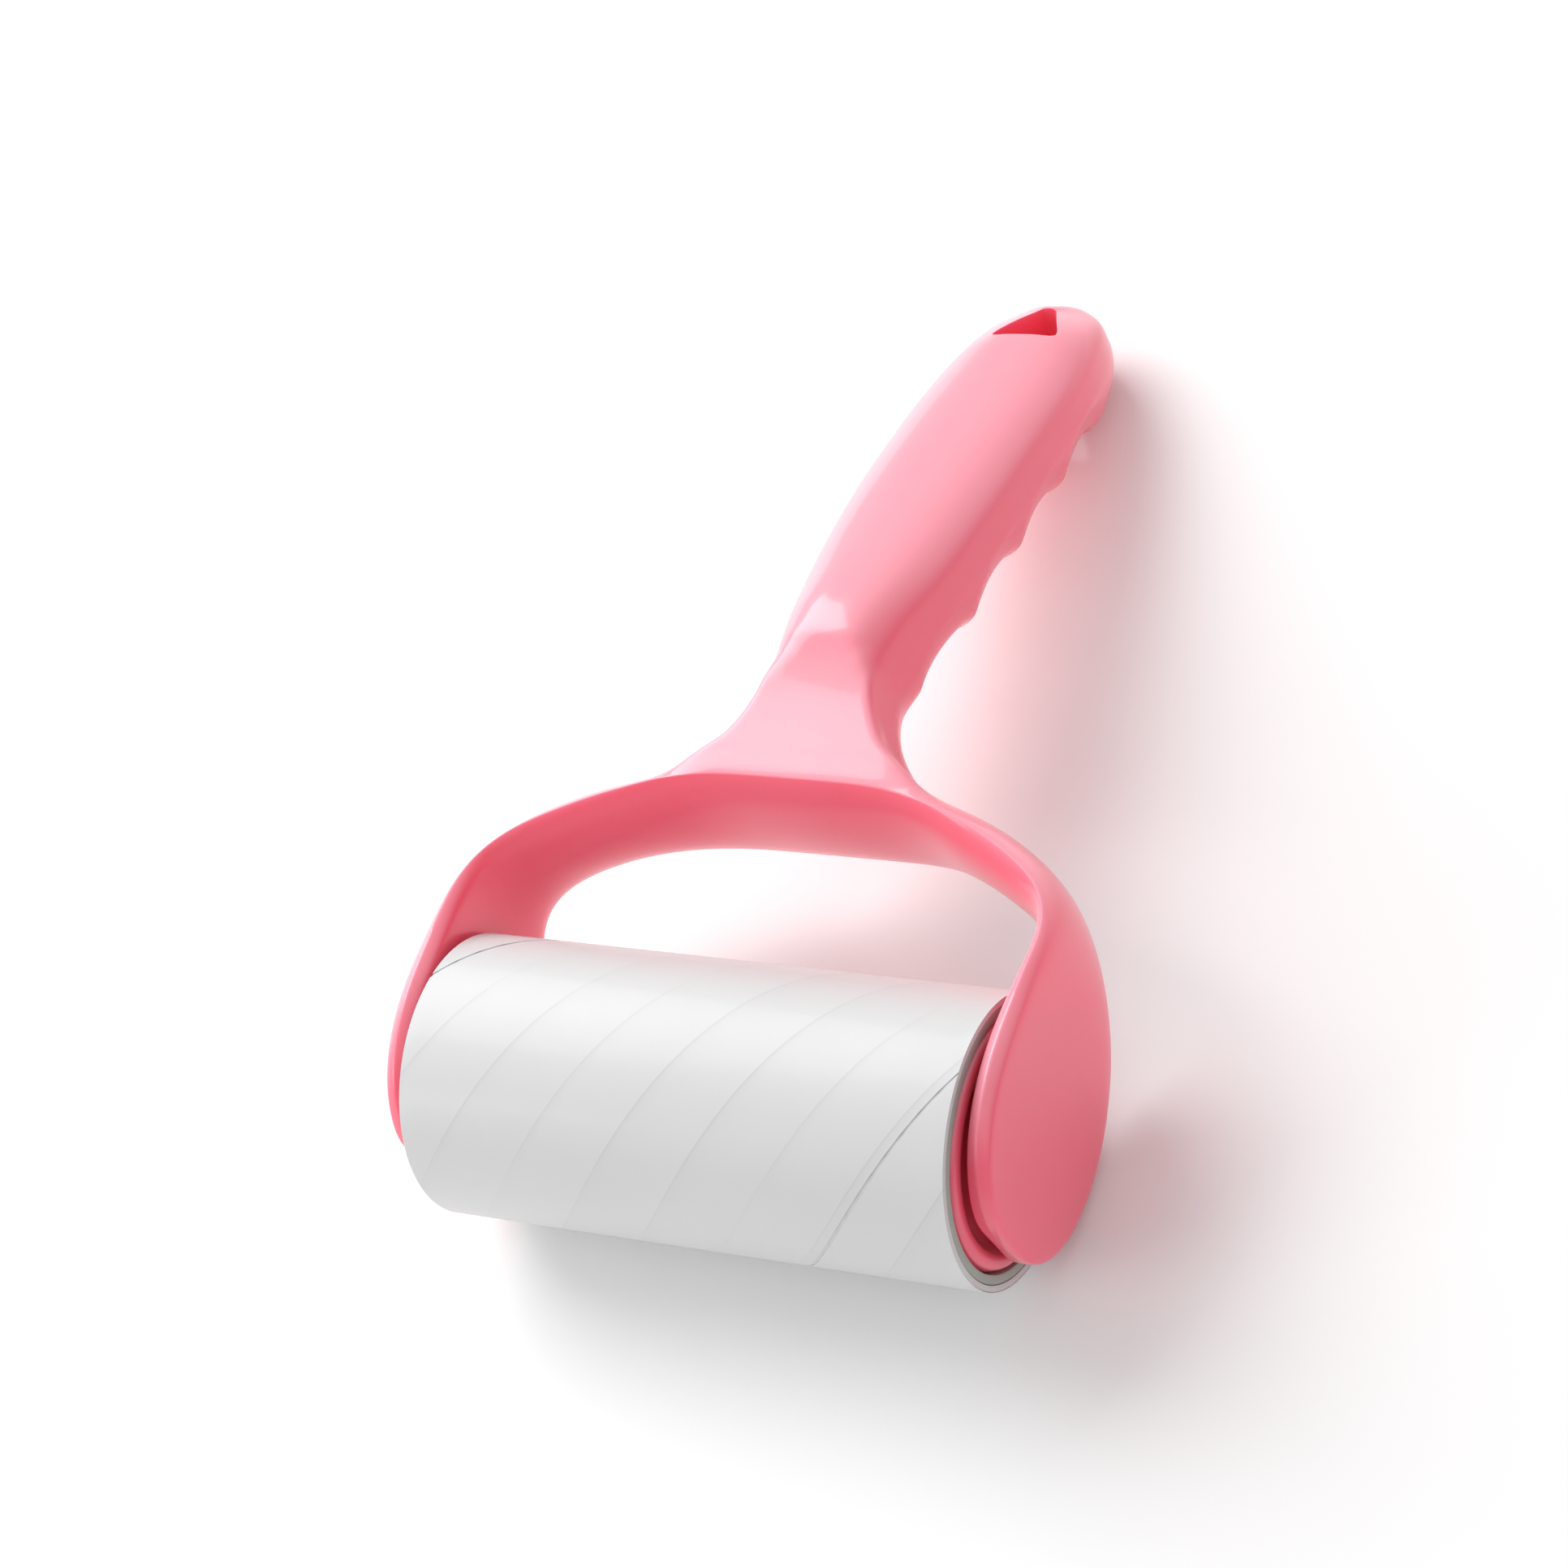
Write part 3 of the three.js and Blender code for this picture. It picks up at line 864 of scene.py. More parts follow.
@dataclass(frozen=True)
class HandleSize:
    """Sizes of the handle moulding, in millimetres."""

    yoke: tuple[YokeStation, ...] = (
        YokeStation(0, 0, 53.5, 14.0, 2.7),
        YokeStation(6.5, 0, 53.5, 14.0, 2.7),
        YokeStation(13, -0.1, 53.4, 13.9, 2.7),
        YokeStation(19, -0.6, 52.9, 13.4, 2.9),
        YokeStation(25, -1.6, 51.6, 12.5, 3.3),
        YokeStation(30, -2.8, 49.7, 11.4, 3.7),
        YokeStation(36.4, -4, 46.9, 10.6, 3.95),
        YokeStation(43, -4.7, 43.2, 10.4, 3.9),
        YokeStation(48.6, -4.9, 39.3, 10.9, 3.6),
        YokeStation(52.6, -4.6, 34.4, 12.2, 3.1),
        YokeStation(54.3, -3.2, 28.8, 15, 2.5, 0.3),
        YokeStation(54.3, -1, 22.5, 18.9, 2.3, 0.6),
        YokeStation(54.0, 0.3, 15.5, 21.2, 2.3, 0.85),
        YokeStation(53.8, 0.7, 8.5, 22.6, 2.3, 1),
        YokeStation(53.75, 0.7, 1, 22.6, 2.28, 1),
        YokeStation(53.75, 0.7, -6, 20.6, 2.28, 1),
        YokeStation(53.75, 0.7, -11.5, 16.9, 2.28, 1),
        YokeStation(53.75, 0.7, -15.5, 11.6, 2.26, 1),
        YokeStation(53.75, 0.7, -17.6, 6.4, 1.9, 1),
    )
    grip: tuple[tuple[float, float, float, float], ...] = (
        (-5.0, 57.6, 19.6, 10.4),
        (-5.7, 60.0, 17.1, 10.3),
        (-7.0, 64.5, 13.7, 10.3),
        (-7.5, 73, 11.4, 11.5),
        (-5.7, 82, 12.3, 12.3),
        (-1.2, 94, 14.4, 11.7),
        (5.7, 112.5, 16.0, 11.1),
        (14.2, 132, 16.5, 10.9),
        (22.6, 150, 16.0, 10.6),
        (29.7, 163.5, 13.6, 10.6),
        (34.2, 171.4, 9.9, 8.7),
        (36.2, 175.3, 5.6, 5.4),
    )
    groove_first: float = 91.0
    groove_pitch: float = 18.5
    groove_count: int = 4
    groove_depth: float = 5.0
    neck_levels: tuple[float, ...] = (57.6, 60.0, 62.8, 66.0, 69.2, 72.0, 74.2, 75.8, 77.2, 78.4)
    arch: tuple[tuple[float, float], ...] = ((73.0, 0.96), (75.0, 0.78), (76.5, 0.6), (77.8, 0.3))
    facet_foot: tuple[float, float] = (-14.6, 55.0)
    facet_lean: float = 0.09
    facet_scoop: float = 0.021
    scoop_start: float = 67.0
    tip_levels: tuple[float, ...] = (157.9, 161.4, 164.9, 168.3, 171.2, 173.6, 175.3)
    cover_half_width: float = 8.0
    screws: tuple[tuple[str, float], ...] = (("cover_screw_lower", 91.0), ("cover_screw_upper", 128.2))
    cover_low: float = 84.0
    cover_high: float = 152.0


class Handle:
    """The moulding of grip, neck, yoke and pads, with the cover at the rear of the grip.

    Args:
        size: its sizes.
        plastic: its material.
        steel: material of the screws.
    """

    SIDES = 26
    STRAP_SIDES = 16
    STRAP_SHRINK = 0.975
    GRIP_GROWTH = 1.011
    UPRIGHT_TOP = 66.0
    CORNERS = 1.04
    FRONT_CORNERS = 1.03
    FACET_MIDDLE = 72.0
    FACET_FLARE = 0.17
    LIP_CREASE = 0.5
    CREST_CREASE = 0.45
    HOLE_CREASE = 0.55
    HOLE_FLOOR = 120.0
    HOLE_ROWS = (0.95, 0.74, 0.5, 0.28)
    SEAM = 0.16
    LEVELS = 3
    SCREW_SIDES = 40
    BORE_RADIUS = 3.1
    SEAT_DEPTH = 2.2
    SHANK = -6.0
    SHANK_RADIUS = 1.1
    HEAD = ((0.05, 1.1), (0.05, 2.5), (0.2, 2.7), (0.9, 2.75), (1.3, 2.5), (1.55, 1.9), (1.65, 1.0))

    def __init__(self, size: HandleSize, plastic: bpy.types.Material, steel: bpy.types.Material) -> None:
        self.size = size
        self.plastic = plastic
        self.steel = steel

    def build(self) -> None:
        """Models and dresses every piece of the handle."""
        yoke = self.yoke()
        self.open_bridge(yoke)
        grip = self.grip()
        body = self.join(yoke, grip)
        finish_modifier(body, "SUBSURF", levels=self.LEVELS, render_levels=self.LEVELS)
        cover = self.cut_cover(body)
        screws = [(name, self.screw(cover, name, height)) for name, height in self.size.screws]
        for piece in (body, cover):
            shade(piece, MOULDED_SMOOTH)
            lay_down(piece)
        hand_over(body, Body.HANDLE, Slot.PINK, self.plastic, "frame_moulding")
        hand_over(cover, Body.HANDLE, Slot.PINK, self.plastic, "grip_back_cover")
        for side in ("right", "left"):
            dress(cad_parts[f"pivot_pin_{side}"], Slot.PINK, self.plastic)
        for name, screw in screws:
            lay_down(screw)
            hand_over(screw, Body.HANDLE, Slot.STEEL, self.steel, name)

    def yoke(self) -> Shaper:
        """The bent strap from one pad to the other.

        Returns:
            The open shaper of the yoke.
        """
        half = self.size.yoke
        stations = [replace(station, x=-station.x) for station in reversed(half[1:])] + list(half)
        tube = Tube("handle_frame", self.STRAP_SIDES, len(stations))
        tube.pick(lambda spot: abs(spot.x) < 0.1 and spot.y < -0.9)
        bpy.ops.mesh.select_mode(type="EDGE")
        tube.crease(self.LIP_CREASE)
        for index, station in enumerate(stations):
            before = stations[max(0, index - 1)]
            after = stations[min(len(stations) - 1, index + 1)]
            way = Vector((after.x - before.x, 0, after.z - before.z)).normalized()
            level = tube.level(index)
            self.shape_strap(tube, index, station)
            tube.pick_ring(index)
            sizes = (station.half_thickness / self.STRAP_SHRINK, station.half_width / self.STRAP_SHRINK, 1)
            tube.scale(sizes, (0, 0, level))
            tube.turn(math.atan2(way.x, way.z), "Y", (0, 0, level))
            tube.move((station.x, station.y, station.z - level))
        tube.pick_border()
        bpy.ops.mesh.fill_holes(sides=0)
        bpy.ops.mesh.select_all(action="SELECT")
        bpy.ops.mesh.normals_make_consistent(inside=False)
        return tube

    @staticmethod
    def shape_strap(tube: Tube, index: int, station: YokeStation) -> None:
        """Makes a waiting ring of the yoke as boxy as its station says.

        Args:
            tube: the yoke.
            index: number of the ring.
            station: its station.
        """
        level = tube.level(index)
        if station.box <= 0:
            tube.pick_ring(index, lambda spot: spot.y < -0.8 and abs(spot.x) > 0.2)
            tube.scale((0.72, 1, 1), (0, 0, level))
            return
        for sign in (-1, 1):
            tube.pick_ring(index, lambda spot: spot.x * sign > 0.6)
            tube.scale((1 - station.box, 1 + 0.27 * station.box, 1), (sign, 0, level))
            tube.pick_ring(index, lambda spot: 0.2 < spot.x * sign < 0.55)
            tube.scale((1 + 1.2 * station.box, 1 + 0.03 * station.box, 1), (0, 0, level))

    def open_bridge(self, yoke: Shaper) -> None:
        """Opens the top of the bridge where the neck grows out of it.

        Args:
            yoke: the yoke.
        """
        found = yoke.pick_faces(
            lambda spot, normal: abs(spot.x) < 25 and -13.0 < spot.y < 8.6 and spot.z > 45 and normal.z > 0.25
        )
        bpy.ops.mesh.delete(type="FACE")
        LOG.info("bridge opened over %d faces", found)
        yoke.pick(lambda spot: abs(spot.x) < 20 and -13.9 < spot.y < -12 and spot.z > 53.2)
        yoke.move((0, -1.4, 0.6))
        bpy.ops.object.mode_set(mode="OBJECT")

    def levels(self) -> list[float]:
        """Heights of the grip's sections, closer together in the finger grooves.

        Returns:
            The heights on its middle line.
        """
        size = self.size
        heights = list(size.neck_levels)
        for groove in range(size.groove_count):
            centre = size.groove_first + size.groove_pitch * groove
            heights += [centre + size.groove_pitch * share for share in (-0.5, -0.37, -0.13, 0.13, 0.37)]
        heights.append(size.groove_first + size.groove_pitch * (size.groove_count - 0.5))
        return heights + list(size.tip_levels)

    def groove(self, height: float) -> float:
        """Depth of the finger grooves.

        Args:
            height: a height on the middle line.

        Returns:
            The depth there.
        """
        size = self.size
        turns = (height - size.groove_first) / size.groove_pitch
        nearest = max(0, min(size.groove_count - 1, round(turns)))
        offset = min(1.0, 2 * abs(turns - nearest))
        return size.groove_depth * (1 - offset**1.8)

    def is_crest(self, height: float) -> bool:
        """Whether a height is at the crest between two finger grooves.

        Args:
            height: a height on the middle line.

        Returns:
            True at a crest.
        """
        turns = (height - self.size.groove_first) / self.size.groove_pitch + 0.5
        return abs(turns - round(turns)) < 0.01 and -0.1 < turns < self.size.groove_count + 0.1

    def grip(self) -> Shaper:
        """The grip from the neck to the tip, open at the neck.

        Returns:
            The shaper of the grip.
        """
        heights = self.levels()
        tube = Tube("handle_grip", self.SIDES, len(heights))
        for index, height in enumerate(heights):
            y, z, half_width, half_depth = smooth_at(self.size.grip, 1, height)
            ahead = smooth_at(self.size.grip, 1, min(height + 1, heights[-1]))
            behind = smooth_at(self.size.grip, 1, max(height - 1, heights[0]))
            tilt = math.atan2(ahead[0] - behind[0], ahead[1] - behind[1])
            foot = heights[0]
            if height < self.UPRIGHT_TOP:
                tilt *= max(0.0, (height - foot) / (self.UPRIGHT_TOP - foot))
            level = tube.level(index)
            depth = half_depth * self.GRIP_GROWTH
            self.shape_grip(tube, index, height, half_depth, (y - self.facet(height)) / depth)
            tube.pick_ring(index)
            tube.scale((half_width * self.GRIP_GROWTH, depth, 1), (0, 0, level))
            tube.turn(-tilt, "X", (0, 0, level))
            tube.move((0, y, z - level))
        self.close_tip(tube)
        bpy.ops.mesh.select_all(action="SELECT")
        bpy.ops.mesh.normals_make_consistent(inside=False)
        self.hang_hole(tube)
        tube.leave()
        return tube

    def facet(self, height: float) -> float:
        """Where the flat at the front of the neck lies, curving outwards to the arch at its top.

        Args:
            height: a height on the middle line.

        Returns:
            Its place along Y.
        """
        size = self.size
        front, foot = size.facet_foot
        scoop = size.facet_scoop * max(0.0, height - size.scoop_start) ** 2
        return front - size.facet_lean * (height - foot) - scoop

    def shape_grip(self, tube: Tube, index: int, height: float, half_depth: float, plane: float) -> None:
        """Gives a waiting ring of the grip its section: full corners, flat neck front, finger groove.

        Args:
            tube: the grip.
            index: number of the ring.
            height: its height on the middle line.
            half_depth: half its depth.
            plane: how far in front of its middle the flat of the neck lies, in half depths.
        """
        level = tube.level(index)
        tube.pick_ring(index, lambda spot: abs(spot.x) > 0.4 and abs(spot.y) > 0.4)
        tube.scale((self.CORNERS, self.CORNERS, 1), (0, 0, level))
        tube.pick_ring(index, lambda spot: abs(spot.x) > 0.2 and spot.y < -0.5)
        tube.scale((self.FRONT_CORNERS, self.FRONT_CORNERS, 1), (0, 0, level))
        reach = next((wide for top, wide in self.size.arch if height < top), 0.0)
        if reach > 0:
            widen = max(-0.4, min(1.0, (self.FACET_MIDDLE - height) / 9))
            tube.pick_ring(index, lambda spot: spot.y < -0.5 and abs(spot.x) < reach)
            tube.scale((1 + self.FACET_FLARE * widen, 0, 1), (0, -plane, level))
        if self.is_crest(height):
            tube.pick_ring(index, lambda spot: spot.y > 0.3)
            bpy.ops.mesh.select_mode(type="EDGE")
            tube.crease(self.CREST_CREASE)
        dent = self.groove(height) / half_depth
        if dent > 0.01:
            for share, low in ((0.55, 0.1), (0.45, 0.6)):
                tube.pick_ring(index, lambda spot: spot.y > low)
                tube.move((0, -dent * share, 0))

    def close_tip(self, tube: Tube) -> None:
        """Closes the grip's tip, whose ring is still selected, with a small crown.

        Args:
            tube: the grip.
        """
        y, z, *_ = self.size.grip[-1]
        tube.extrude((0, 0.35, 0.75))
        tube.scale((0.55, 0.55, 0.55), (0, y + 0.35, z + 0.75))
        tube.extrude((0, 0.05, 0.1))
        bpy.ops.mesh.merge(type="CENTER")

    def hang_hole(self, tube: Tube) -> None:
        """Opens the triangular hang hole from front to back near the tip.

        Args:
            tube: the grip.
        """
        spots = [smooth_at(self.size.grip, 1, level) for level in self.size.tip_levels]
        for side, place in ((-1, "front"), (1, "rear")):
            LOG.info("hang hole opened over %d faces at the %s", self.hole_rows(tube, spots, side), place)
        tube.pick_border(self.HOLE_FLOOR)
        tube.crease(self.HOLE_CREASE)
        bpy.ops.mesh.bridge_edge_loops(number_cuts=2, interpolation="LINEAR")

    def hole_rows(self, tube: Tube, spots: list[list[float]], side: int) -> int:
        """Deletes one mouth of the hang hole and draws its rim to a triangle.

        Args:
            tube: the grip.
            spots: sections of the tip, from the base of the triangle up.
            side: -1 at the front, 1 at the rear.

        Returns:
            How many faces were deleted.
        """
        low, high = spots[0], spots[3]
        way = Vector((0, high[0] - low[0], high[1] - low[1]))
        length = way.length
        way.normalize()
        base = Vector((0, low[0], low[1]))
        across = Vector((0, way.z, -way.y)) * side

        def inside(spot: Vector, normal: Vector) -> bool:
            away = spot - base
            on_side = away.dot(across) > 5 and normal.dot(across) > 0.6
            return on_side and 0 < away.dot(way) < length and abs(spot.x) < 6.6

        count = tube.pick_faces(inside)
        bpy.ops.mesh.delete(type="FACE")
        mesh = bmesh.from_edit_mesh(tube.obj.data)
        open_ends = [vertex.co.copy().freeze() for vertex in mesh.verts if vertex.is_boundary]
        rim = {spot for spot in open_ends if spot.z > self.HOLE_FLOOR and (spot - base).dot(across) > 3}
        for row, share in enumerate(self.HOLE_ROWS):
            middle = Vector((0, spots[row][0], spots[row][1]))
            tube.pick(lambda spot: spot.copy().freeze() in rim and abs((spot - middle).dot(way)) < 1.3)
            tube.scale((share, 1, 1), ORIGIN)
        return count

    def join(self, yoke: Shaper, grip: Shaper) -> bpy.types.Object:
        """Joins grip and yoke and bridges the gap between them.

        Args:
            yoke: the yoke.
            grip: the grip.

        Returns:
            The whole moulding.
        """
        bpy.ops.object.select_all(action="DESELECT")
        grip.obj.select_set(True)
        yoke.obj.select_set(True)
        bpy.context.view_layer.objects.active = yoke.obj
        bpy.ops.object.join()
        bpy.ops.object.mode_set(mode="EDIT")
        LOG.info("open edges at the neck: %d", yoke.pick_border())
        bpy.ops.mesh.bridge_edge_loops(number_cuts=0)
        return yoke.leave()

    def cut_cover(self, body: bpy.types.Object) -> bpy.types.Object:
        """Cuts the cover out of the rear of the grip and leaves a fine seam round it.

        Args:
            body: the whole moulding.

        Returns:
            The cover.
        """
        cover = copied(body, "grip_cover")
        for piece, grow, operation in ((body, self.SEAM, "DIFFERENCE"), (cover, 0.0, "INTERSECT")):
            cutter = self.cover_cutter(grow)
            finish_modifier(piece, "BOOLEAN", object=cutter, operation=operation, solver="EXACT")
            discarded(cutter)
        return cover

    def screw(self, cover: bpy.types.Object, name: str, height: float) -> bpy.types.Object:
        """Sinks a counterbore into the cover and makes the pan-head screw that sits in it.

        Args:
            cover: the cover.
            name: the CAD node that the screw stands for.
            height: its height on the grip's middle line.

        Returns:
            The screw.
        """
        ahead = smooth_at(self.size.grip, 1, height + 1)
        behind = smooth_at(self.size.grip, 1, height - 1)
        tilt = math.atan2(ahead[0] - behind[0], ahead[1] - behind[1])
        middle = Vector((0, (ahead[0] + behind[0]) / 2, height))
        back = Vector((0, math.cos(tilt), -math.sin(tilt)))
        face = cover.ray_cast(middle + back * 30, -back)[1]
        seat = face - back * self.SEAT_DEPTH
        bore = Shaper("bore")
        bore.start_circle(self.SCREW_SIDES, self.BORE_RADIUS, ORIGIN)
        bpy.ops.mesh.edge_face_add()
        bore.extrude((0, 0, 9))
        self.aim(bore, tilt, seat)
        finish_modifier(cover, "BOOLEAN", object=bore.leave(), operation="DIFFERENCE", solver="EXACT")
        discarded(bore.obj)
        head = Shaper(name.replace("cover_", ""))
        head.start_circle(self.SCREW_SIDES, self.SHANK_RADIUS, (0, 0, self.SHANK))
        bpy.ops.mesh.edge_face_add()
        last = (self.SHANK, self.SHANK_RADIUS)
        for place, radius in self.HEAD:
            head.extrude((0, 0, place - last[0]))
            head.scale((radius / last[1], radius / last[1], 1), (0, 0, place))
            last = (place, radius)
        obj = head.leave()
        for size in ((0.55, 2.9, 1.6), (2.9, 0.55, 1.6)):
            slot = Shaper("slot")
            slot.start_box(size, (0, 0, 1.5))
            slot.pick(lambda spot: spot.z < 1)
            slot.scale((0.8, 0.8, 1), ORIGIN)
            finish_modifier(obj, "BOOLEAN", object=slot.leave(), operation="DIFFERENCE", solver="EXACT")
            discarded(slot.obj)
        bpy.ops.object.mode_set(mode="EDIT")
        bpy.ops.mesh.select_all(action="SELECT")
        self.aim(head, tilt, seat)
        head.leave()
        shade(obj, TURNED_SMOOTH)
        return obj

    @staticmethod
    def aim(shaper: Shaper, tilt: float, seat: Vector) -> None:
        """Turns a piece modelled along Z to point out of the rear of the grip, and brings it to its seat.

        Args:
            shaper: the piece.
            tilt: lean of the grip there.
            seat: where its origin goes.
        """
        bpy.ops.mesh.select_all(action="SELECT")
        shaper.turn(-math.pi / 2 - tilt, "X", ORIGIN)
        shaper.move(seat)

    def cover_cutter(self, grow: float) -> bpy.types.Object:
        """A block with rounded ends that reaches from inside the grip out through its rear.

        Args:
            grow: how much wider it is on every side.

        Returns:
            The block.
        """
        size = self.size
        low = smooth_at(size.grip, 1, size.cover_low)
        high = smooth_at(size.grip, 1, size.cover_high)
        length = math.hypot(high[0] - low[0], high[1] - low[1]) + 2 * grow
        tilt = math.atan2(high[0] - low[0], high[1] - low[1])
        width = 2 * (size.cover_half_width + grow)
        shaper = Shaper("cover_cutter")
        shaper.start_box((width, 30, length), (0, 18.5 - grow, 0))
        shaper.pick_edges(lambda a, b: abs(a.x - b.x) < 0.01 and abs(a.z - b.z) < 0.01)
        bpy.ops.mesh.bevel(offset=width / 2 - 0.3, segments=10, affect="EDGES")
        bpy.ops.mesh.select_all(action="SELECT")
        shaper.turn(-tilt, "X", ORIGIN)
        shaper.move((0, (low[0] + high[0]) / 2, (low[1] + high[1]) / 2))
        return shaper.leave()


# ---- roller -------------------------------------------------------------------------------


@dataclass(frozen=True)
class RollerSize:
    """Sizes of the refill roll and its caps, in millimetres."""

    half_length: float = 50.0
    core_bore: float = 21.1
    core: float = 22.65
    wound: float = 23.78
    sheet_inner: float = 23.84
    sheet: float = 23.98
    slant: float = -6.0
    slant_phase: float = 2.83
    sides: int = 160
    cap_rim: float = 20.85
    cap_crest: float = 50.4
    cap_seat: float = 46.6
    cap_skirt: float = 18.6
    cap_skirt_end: float = 39.0
    cap_dish: float = 48.2
    hub: float = 6.2
    hub_face: float = 51.0
    bore: float = 3.3
    cap_wall: float = 1.8
    cap_sides: int = 128
    layers: int = 4
    sheet_steps: int = 40


class Roller:
    """The refill roll with its core, paper, outer sheet, drum and caps.

    Args:
        size: its sizes.
        plastic: material of the caps.
        drum: material of the drum.
        paper: material of the paper.
        board: material of the core.
    """

    def __init__(
        self,
        size: RollerSize,
        plastic: bpy.types.Material,
        drum: bpy.types.Material,
        paper: bpy.types.Material,
        board: bpy.types.Material,
    ) -> None:
        self.size = size
        self.plastic = plastic
        self.drum = drum
        self.paper = paper
        self.board = board

    def build(self) -> None:
        """Models and dresses every piece of the roller."""
        self.core()
        self.wound()
        self.sheet()
        self.caps()
        dress(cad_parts["drum_tube"], Slot.DRUM, self.drum)

    def core(self) -> None:
        """The paperboard core, with slightly broken edges."""
        size = self.size
        end = size.half_length - 0.1
        profile = rounded(
            [
                (-end, size.core_bore, 0.25),
                (-end, size.core, 0.2),
                (end, size.core, 0.2),
                (end, size.core_bore, 0.25),
            ],
            3,
        )
        obj = lay_down(turned("paper_core", profile, size.sides))
        hand_over(obj, Body.ROLLER, Slot.BOARD, self.board, "cardboard_core")

    def wound(self) -> None:
        """The wound sheets, whose ends step a little from layer to layer."""
        size = self.size
        inner = size.core + 0.12
        pitch = (size.wound - inner) / size.layers
        right: list[tuple[float, float]] = []
        for layer in range(size.layers):
            base = inner + pitch * layer
            reach = size.half_length - (0.06, 0.0, 0.04, 0.02)[layer]
            right += [(reach - 0.05, base), (reach, base + 0.05), (reach, base + pitch - 0.05)]
        right.append((size.half_length - 0.08, size.wound))
        left = [(-x, r) for x, r in reversed(right)]
        obj = lay_down(turned("wound_sheets", left + right, size.sides))
        hand_over(obj, Body.ROLLER, Slot.PAPER, self.paper, "adhesive_roll")

    def sheet(self) -> None:
        """The outermost sheet, whose free edge runs on a slant round the roll."""
        size = self.size
        shaper = Shaper("outer_turn")
        shaper.start_circle(size.sides, (size.sheet + size.sheet_inner) / 2, (0, 0, -size.half_length))
        shaper.pick_edges(lambda a, b: min(a.y, b.y) > 20 and min(a.x, b.x) >= -0.01 and max(a.x, b.x) < 1.4)
        bpy.ops.mesh.delete(type="EDGE")
        bpy.ops.mesh.select_all(action="SELECT")
        for _ in range(size.sheet_steps):
            shaper.extrude((0, 0, 2 * size.half_length / size.sheet_steps))
            shaper.turn(size.slant / size.sheet_steps, "Z", ORIGIN)
        bpy.ops.mesh.select_all(action="SELECT")
        shaper.turn(math.pi / 2, "Y", ORIGIN)
        shaper.turn(size.slant_phase, "X", ORIGIN)
        obj = shaper.leave()
        finish_modifier(obj, "SOLIDIFY", thickness=size.sheet - size.sheet_inner, offset=0.0)
        shade(obj, SHEET_SMOOTH)
        lay_down(obj)
        hand_over(obj, Body.ROLLER, Slot.PAPER, self.paper, "outer_sheet")

    def cap_profile(self) -> list[tuple[float, float]]:
        """Outline of the right end cap: bore, hub, dish, bulging rim and skirt.

        Returns:
            The closed outline.
        """
        size = self.size
        wall = size.cap_wall
        return rounded(
            [
                (size.cap_dish - wall, size.bore, 0.2),
                (size.hub_face, size.bore, 0.25),
                (size.hub_face, size.hub, 0.7),
                (size.cap_dish + 0.4, size.hub + 0.6, 1.0),
                (size.cap_dish, size.cap_skirt - 3.2, 1.2),
                (size.cap_crest - 1.2, size.cap_skirt - 1.6, 1.2),
                (size.cap_crest, size.cap_skirt - 0.6, 0.9),
                (size.cap_crest, size.cap_rim - 0.7, 1.1),
                (size.cap_crest - 1.8, size.cap_rim, 0.8),
                (size.cap_seat, size.cap_rim, 0.4),
                (size.cap_seat, size.cap_skirt, 0.25),
                (size.cap_skirt_end, size.cap_skirt, 0.5),
                (size.cap_skirt_end, size.cap_skirt - 1.3, 0.4),
                (size.cap_dish - wall, size.cap_skirt - 2.2, 0.8),
            ],
            5,
        )

    def caps(self) -> None:
        """The two end caps."""
        size = self.size
        right = turned("cap_right", self.cap_profile(), size.cap_sides)
        left = copied(right, "cap_left")
        for obj, name in ((right, "end_cap_right"), (left, "end_cap_left")):
            if obj is left:
                focus(obj)
                obj.rotation_euler = (0, 0, math.pi)
                bpy.ops.object.transform_apply(location=True, rotation=True, scale=True)
            lay_down(obj)
            hand_over(obj, Body.ROLLER, Slot.PINK, self.plastic, name)


# ---- stage --------------------------------------------------------------------------------


@dataclass(frozen=True)
class SoftBox:
    """A square lamp: its name, place, target, size and power."""

    name: str
    place: Point
    target: Point
    size: float
    power: float


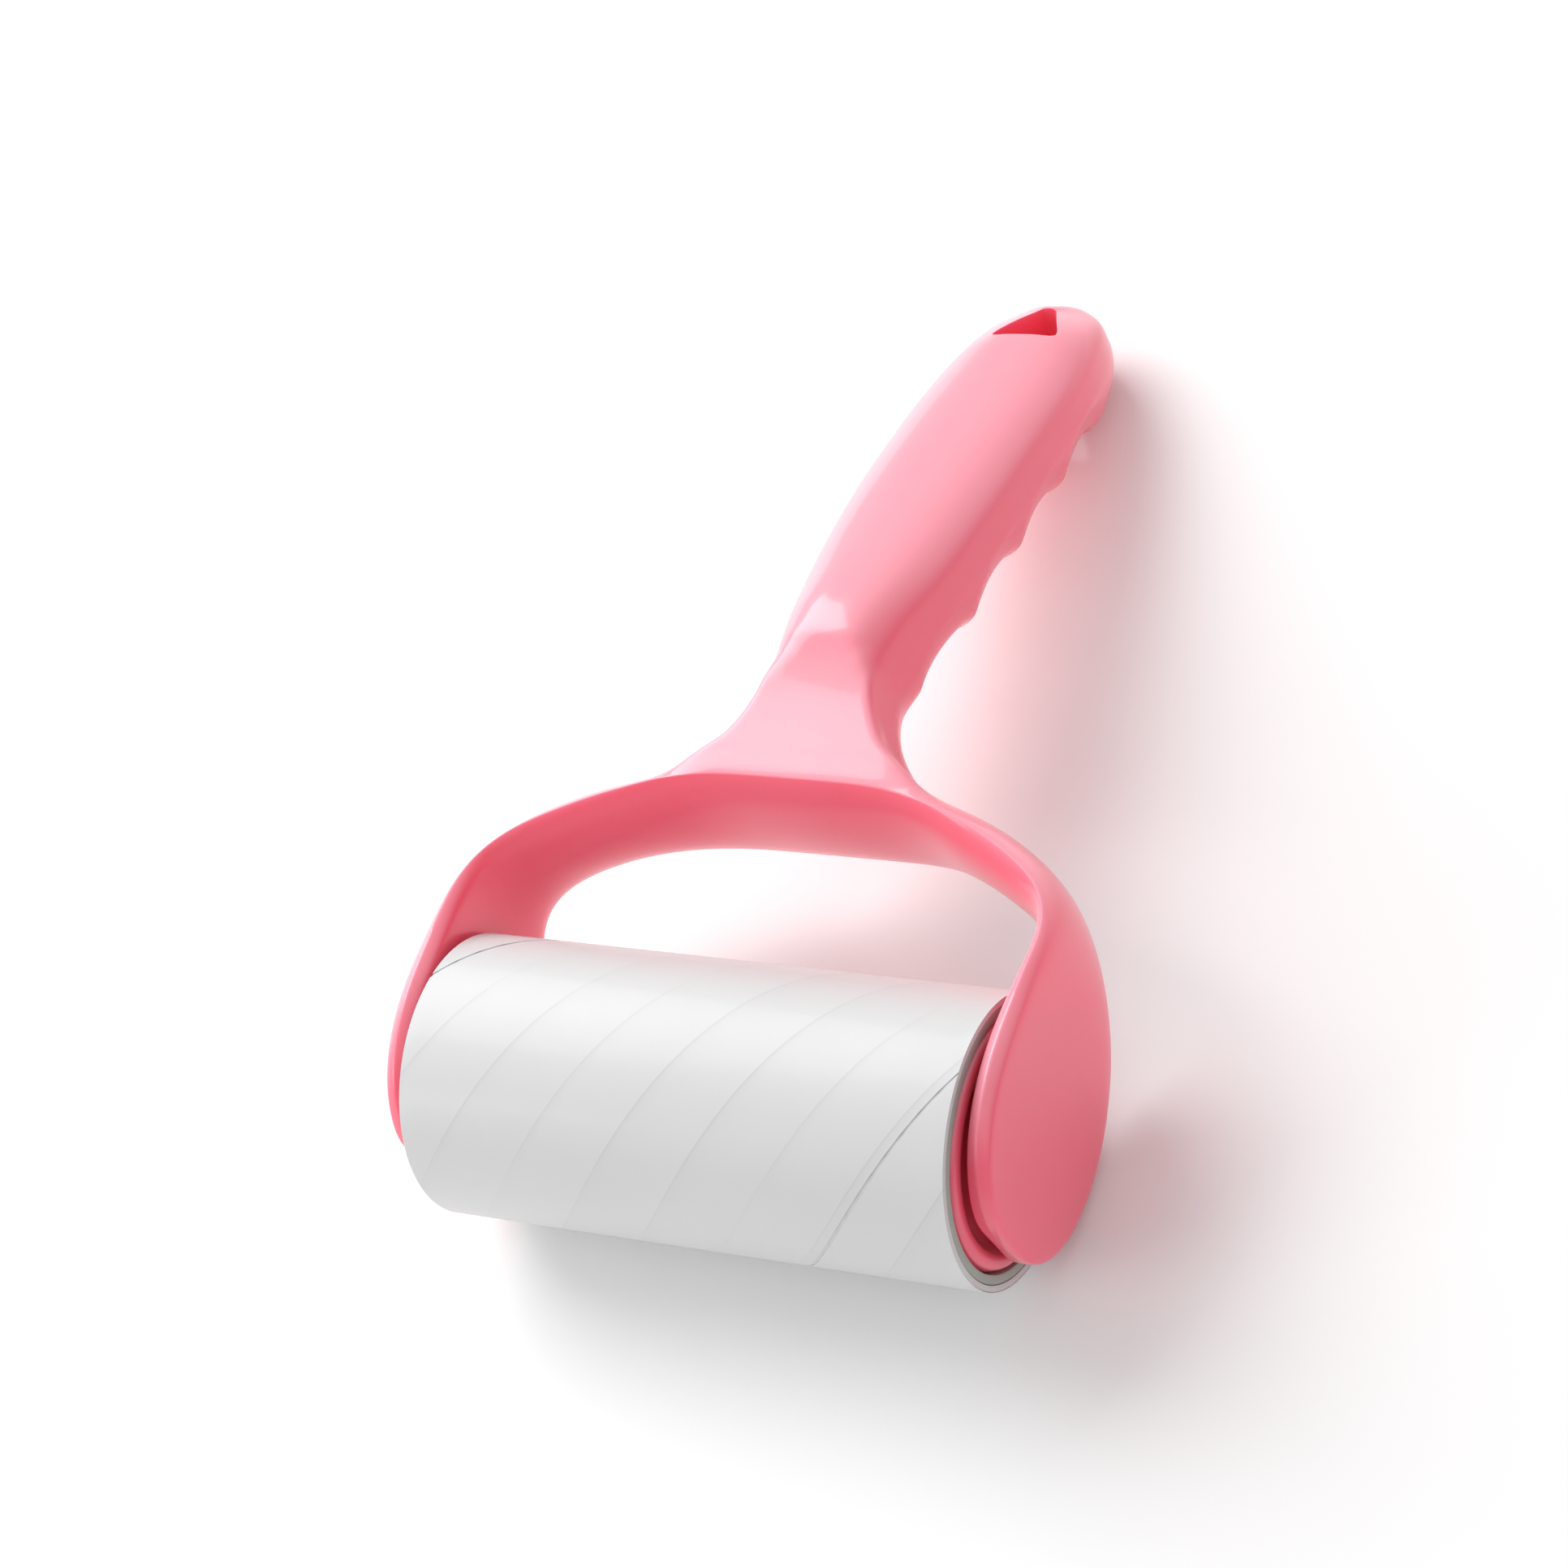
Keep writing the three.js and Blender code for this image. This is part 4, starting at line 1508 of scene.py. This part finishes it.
@dataclass(frozen=True)
class Studio:
    """Floor, world, lamps and camera, in metres.

    Args:
        lamps: the lamps.
        glow: strength of the white surrounding.
        view_right: direction to the right of the view.
        view_back: direction from the tool to the camera.
        view_offset: the camera's place from the roll's middle, along right, up and back of the view.
        lens: the camera's focal length in millimetres.
    """

    lamps: tuple[SoftBox, ...] = (
        SoftBox("key", (-0.75, 0.45, 0.85), (0, 0, 0), 1.0, 14.0),
        SoftBox("fill", (0.9, -0.7, 0.9), (0, -0.05, 0), 0.8, 1.0),
        SoftBox("rim", (-0.8, -0.7, 0.45), (0, 0, 0.02), 0.5, 3.0),
    )
    glow: float = 0.58
    view_right: Point = (0.87801, 0.31697, -0.35864)
    view_back: Point = (0.47294, -0.45923, 0.75196)
    view_offset: Point = (0.008207, 0.05298, 0.62607)
    lens: float = 87.4

    def build(self) -> None:
        """Makes the floor, the light and the camera."""
        self.floor()
        self.world()
        for lamp in self.lamps:
            self.lamp(lamp)
        self.camera()

    def floor(self) -> None:
        """A wide pale floor."""
        bpy.ops.object.select_all(action="DESELECT")
        bpy.ops.mesh.primitive_plane_add(size=12, location=(0, 0, -0.0004))
        floor = bpy.context.object
        floor.name = "floor"
        material = bpy.data.materials.new("floor_paint")
        material.use_nodes = True
        shader = material.node_tree.nodes["Principled BSDF"]
        shader.inputs["Base Color"].default_value = (0.93, 0.93, 0.93, 1)
        shader.inputs["Roughness"].default_value = 0.85
        floor.data.materials.append(material)

    def world(self) -> None:
        """An even white surrounding."""
        world = bpy.data.worlds.new("studio")
        world.use_nodes = True
        background = world.node_tree.nodes["Background"]
        background.inputs[0].default_value = (1, 1, 1, 1)
        background.inputs[1].default_value = self.glow
        bpy.context.scene.world = world
        bpy.context.scene.view_settings.view_transform = "Standard"

    def lamp(self, box: SoftBox) -> None:
        """One soft box.

        Args:
            box: its settings.
        """
        data = bpy.data.lights.new(box.name, "AREA")
        data.size = box.size
        data.energy = box.power
        lamp = bpy.data.objects.new(box.name, data)
        bpy.context.scene.collection.objects.link(lamp)
        lamp.location = box.place
        way = Vector(box.target) - Vector(box.place)
        lamp.rotation_euler = way.to_track_quat("-Z", "Y").to_euler()

    def camera(self) -> None:
        """The camera, above and to the right of the roll, slightly rolled."""
        right = Vector(self.view_right).normalized()
        back = Vector(self.view_back).normalized()
        up = back.cross(right).normalized()
        right = up.cross(back).normalized()
        data = bpy.data.cameras.new("camera")
        data.lens = self.lens
        data.sensor_width = 36.0
        camera = bpy.data.objects.new("camera", data)
        bpy.context.scene.collection.objects.link(camera)
        across, above, away = self.view_offset
        place = roll_middle() + right * across + up * above + back * away
        camera.matrix_world = Matrix.Translation(place) @ Matrix((right, up, back)).transposed().to_4x4()
        bpy.context.scene.camera = camera


def main() -> None:
    """Builds the handle, the roller and the studio in order."""
    logging.basicConfig(level=logging.INFO, format="%(name)s %(message)s")
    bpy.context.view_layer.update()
    # The pink's pale colour is painted light on faces turned to the key lamp and its deep colour is painted
    # shade on faces turned away. The drum's two colours are the same painted light and shade, milder.
    pink = Plastic("pink_gloss", (1.0, 0.34, 0.42), (1.0, 0.13, 0.205), 0.28, 0.4, 0.3).make()
    satin = Plastic("drum_satin", (0.88, 0.66, 0.7), (0.84, 0.58, 0.63), 0.4, 0.1, 0.1).make()
    paper = Paper("coated_paper", (0.675, 0.675, 0.675), (0.635, 0.635, 0.638), 0.42, 0.12, 0.25, 0.5).make()
    board = Paper("grey_board", (0.46, 0.5, 0.45), (0.3, 0.33, 0.3), 0.75, 0.0, 0.6, 0.0).make()
    steel = Steel("zinc_steel", (0.62, 0.62, 0.64), 0.28).make()
    Handle(HandleSize(), pink, steel).build()
    Roller(RollerSize(), pink, satin, paper, board).build()
    Studio().build()
    bpy.context.view_layer.update()


if __name__ == "__main__":
    main()
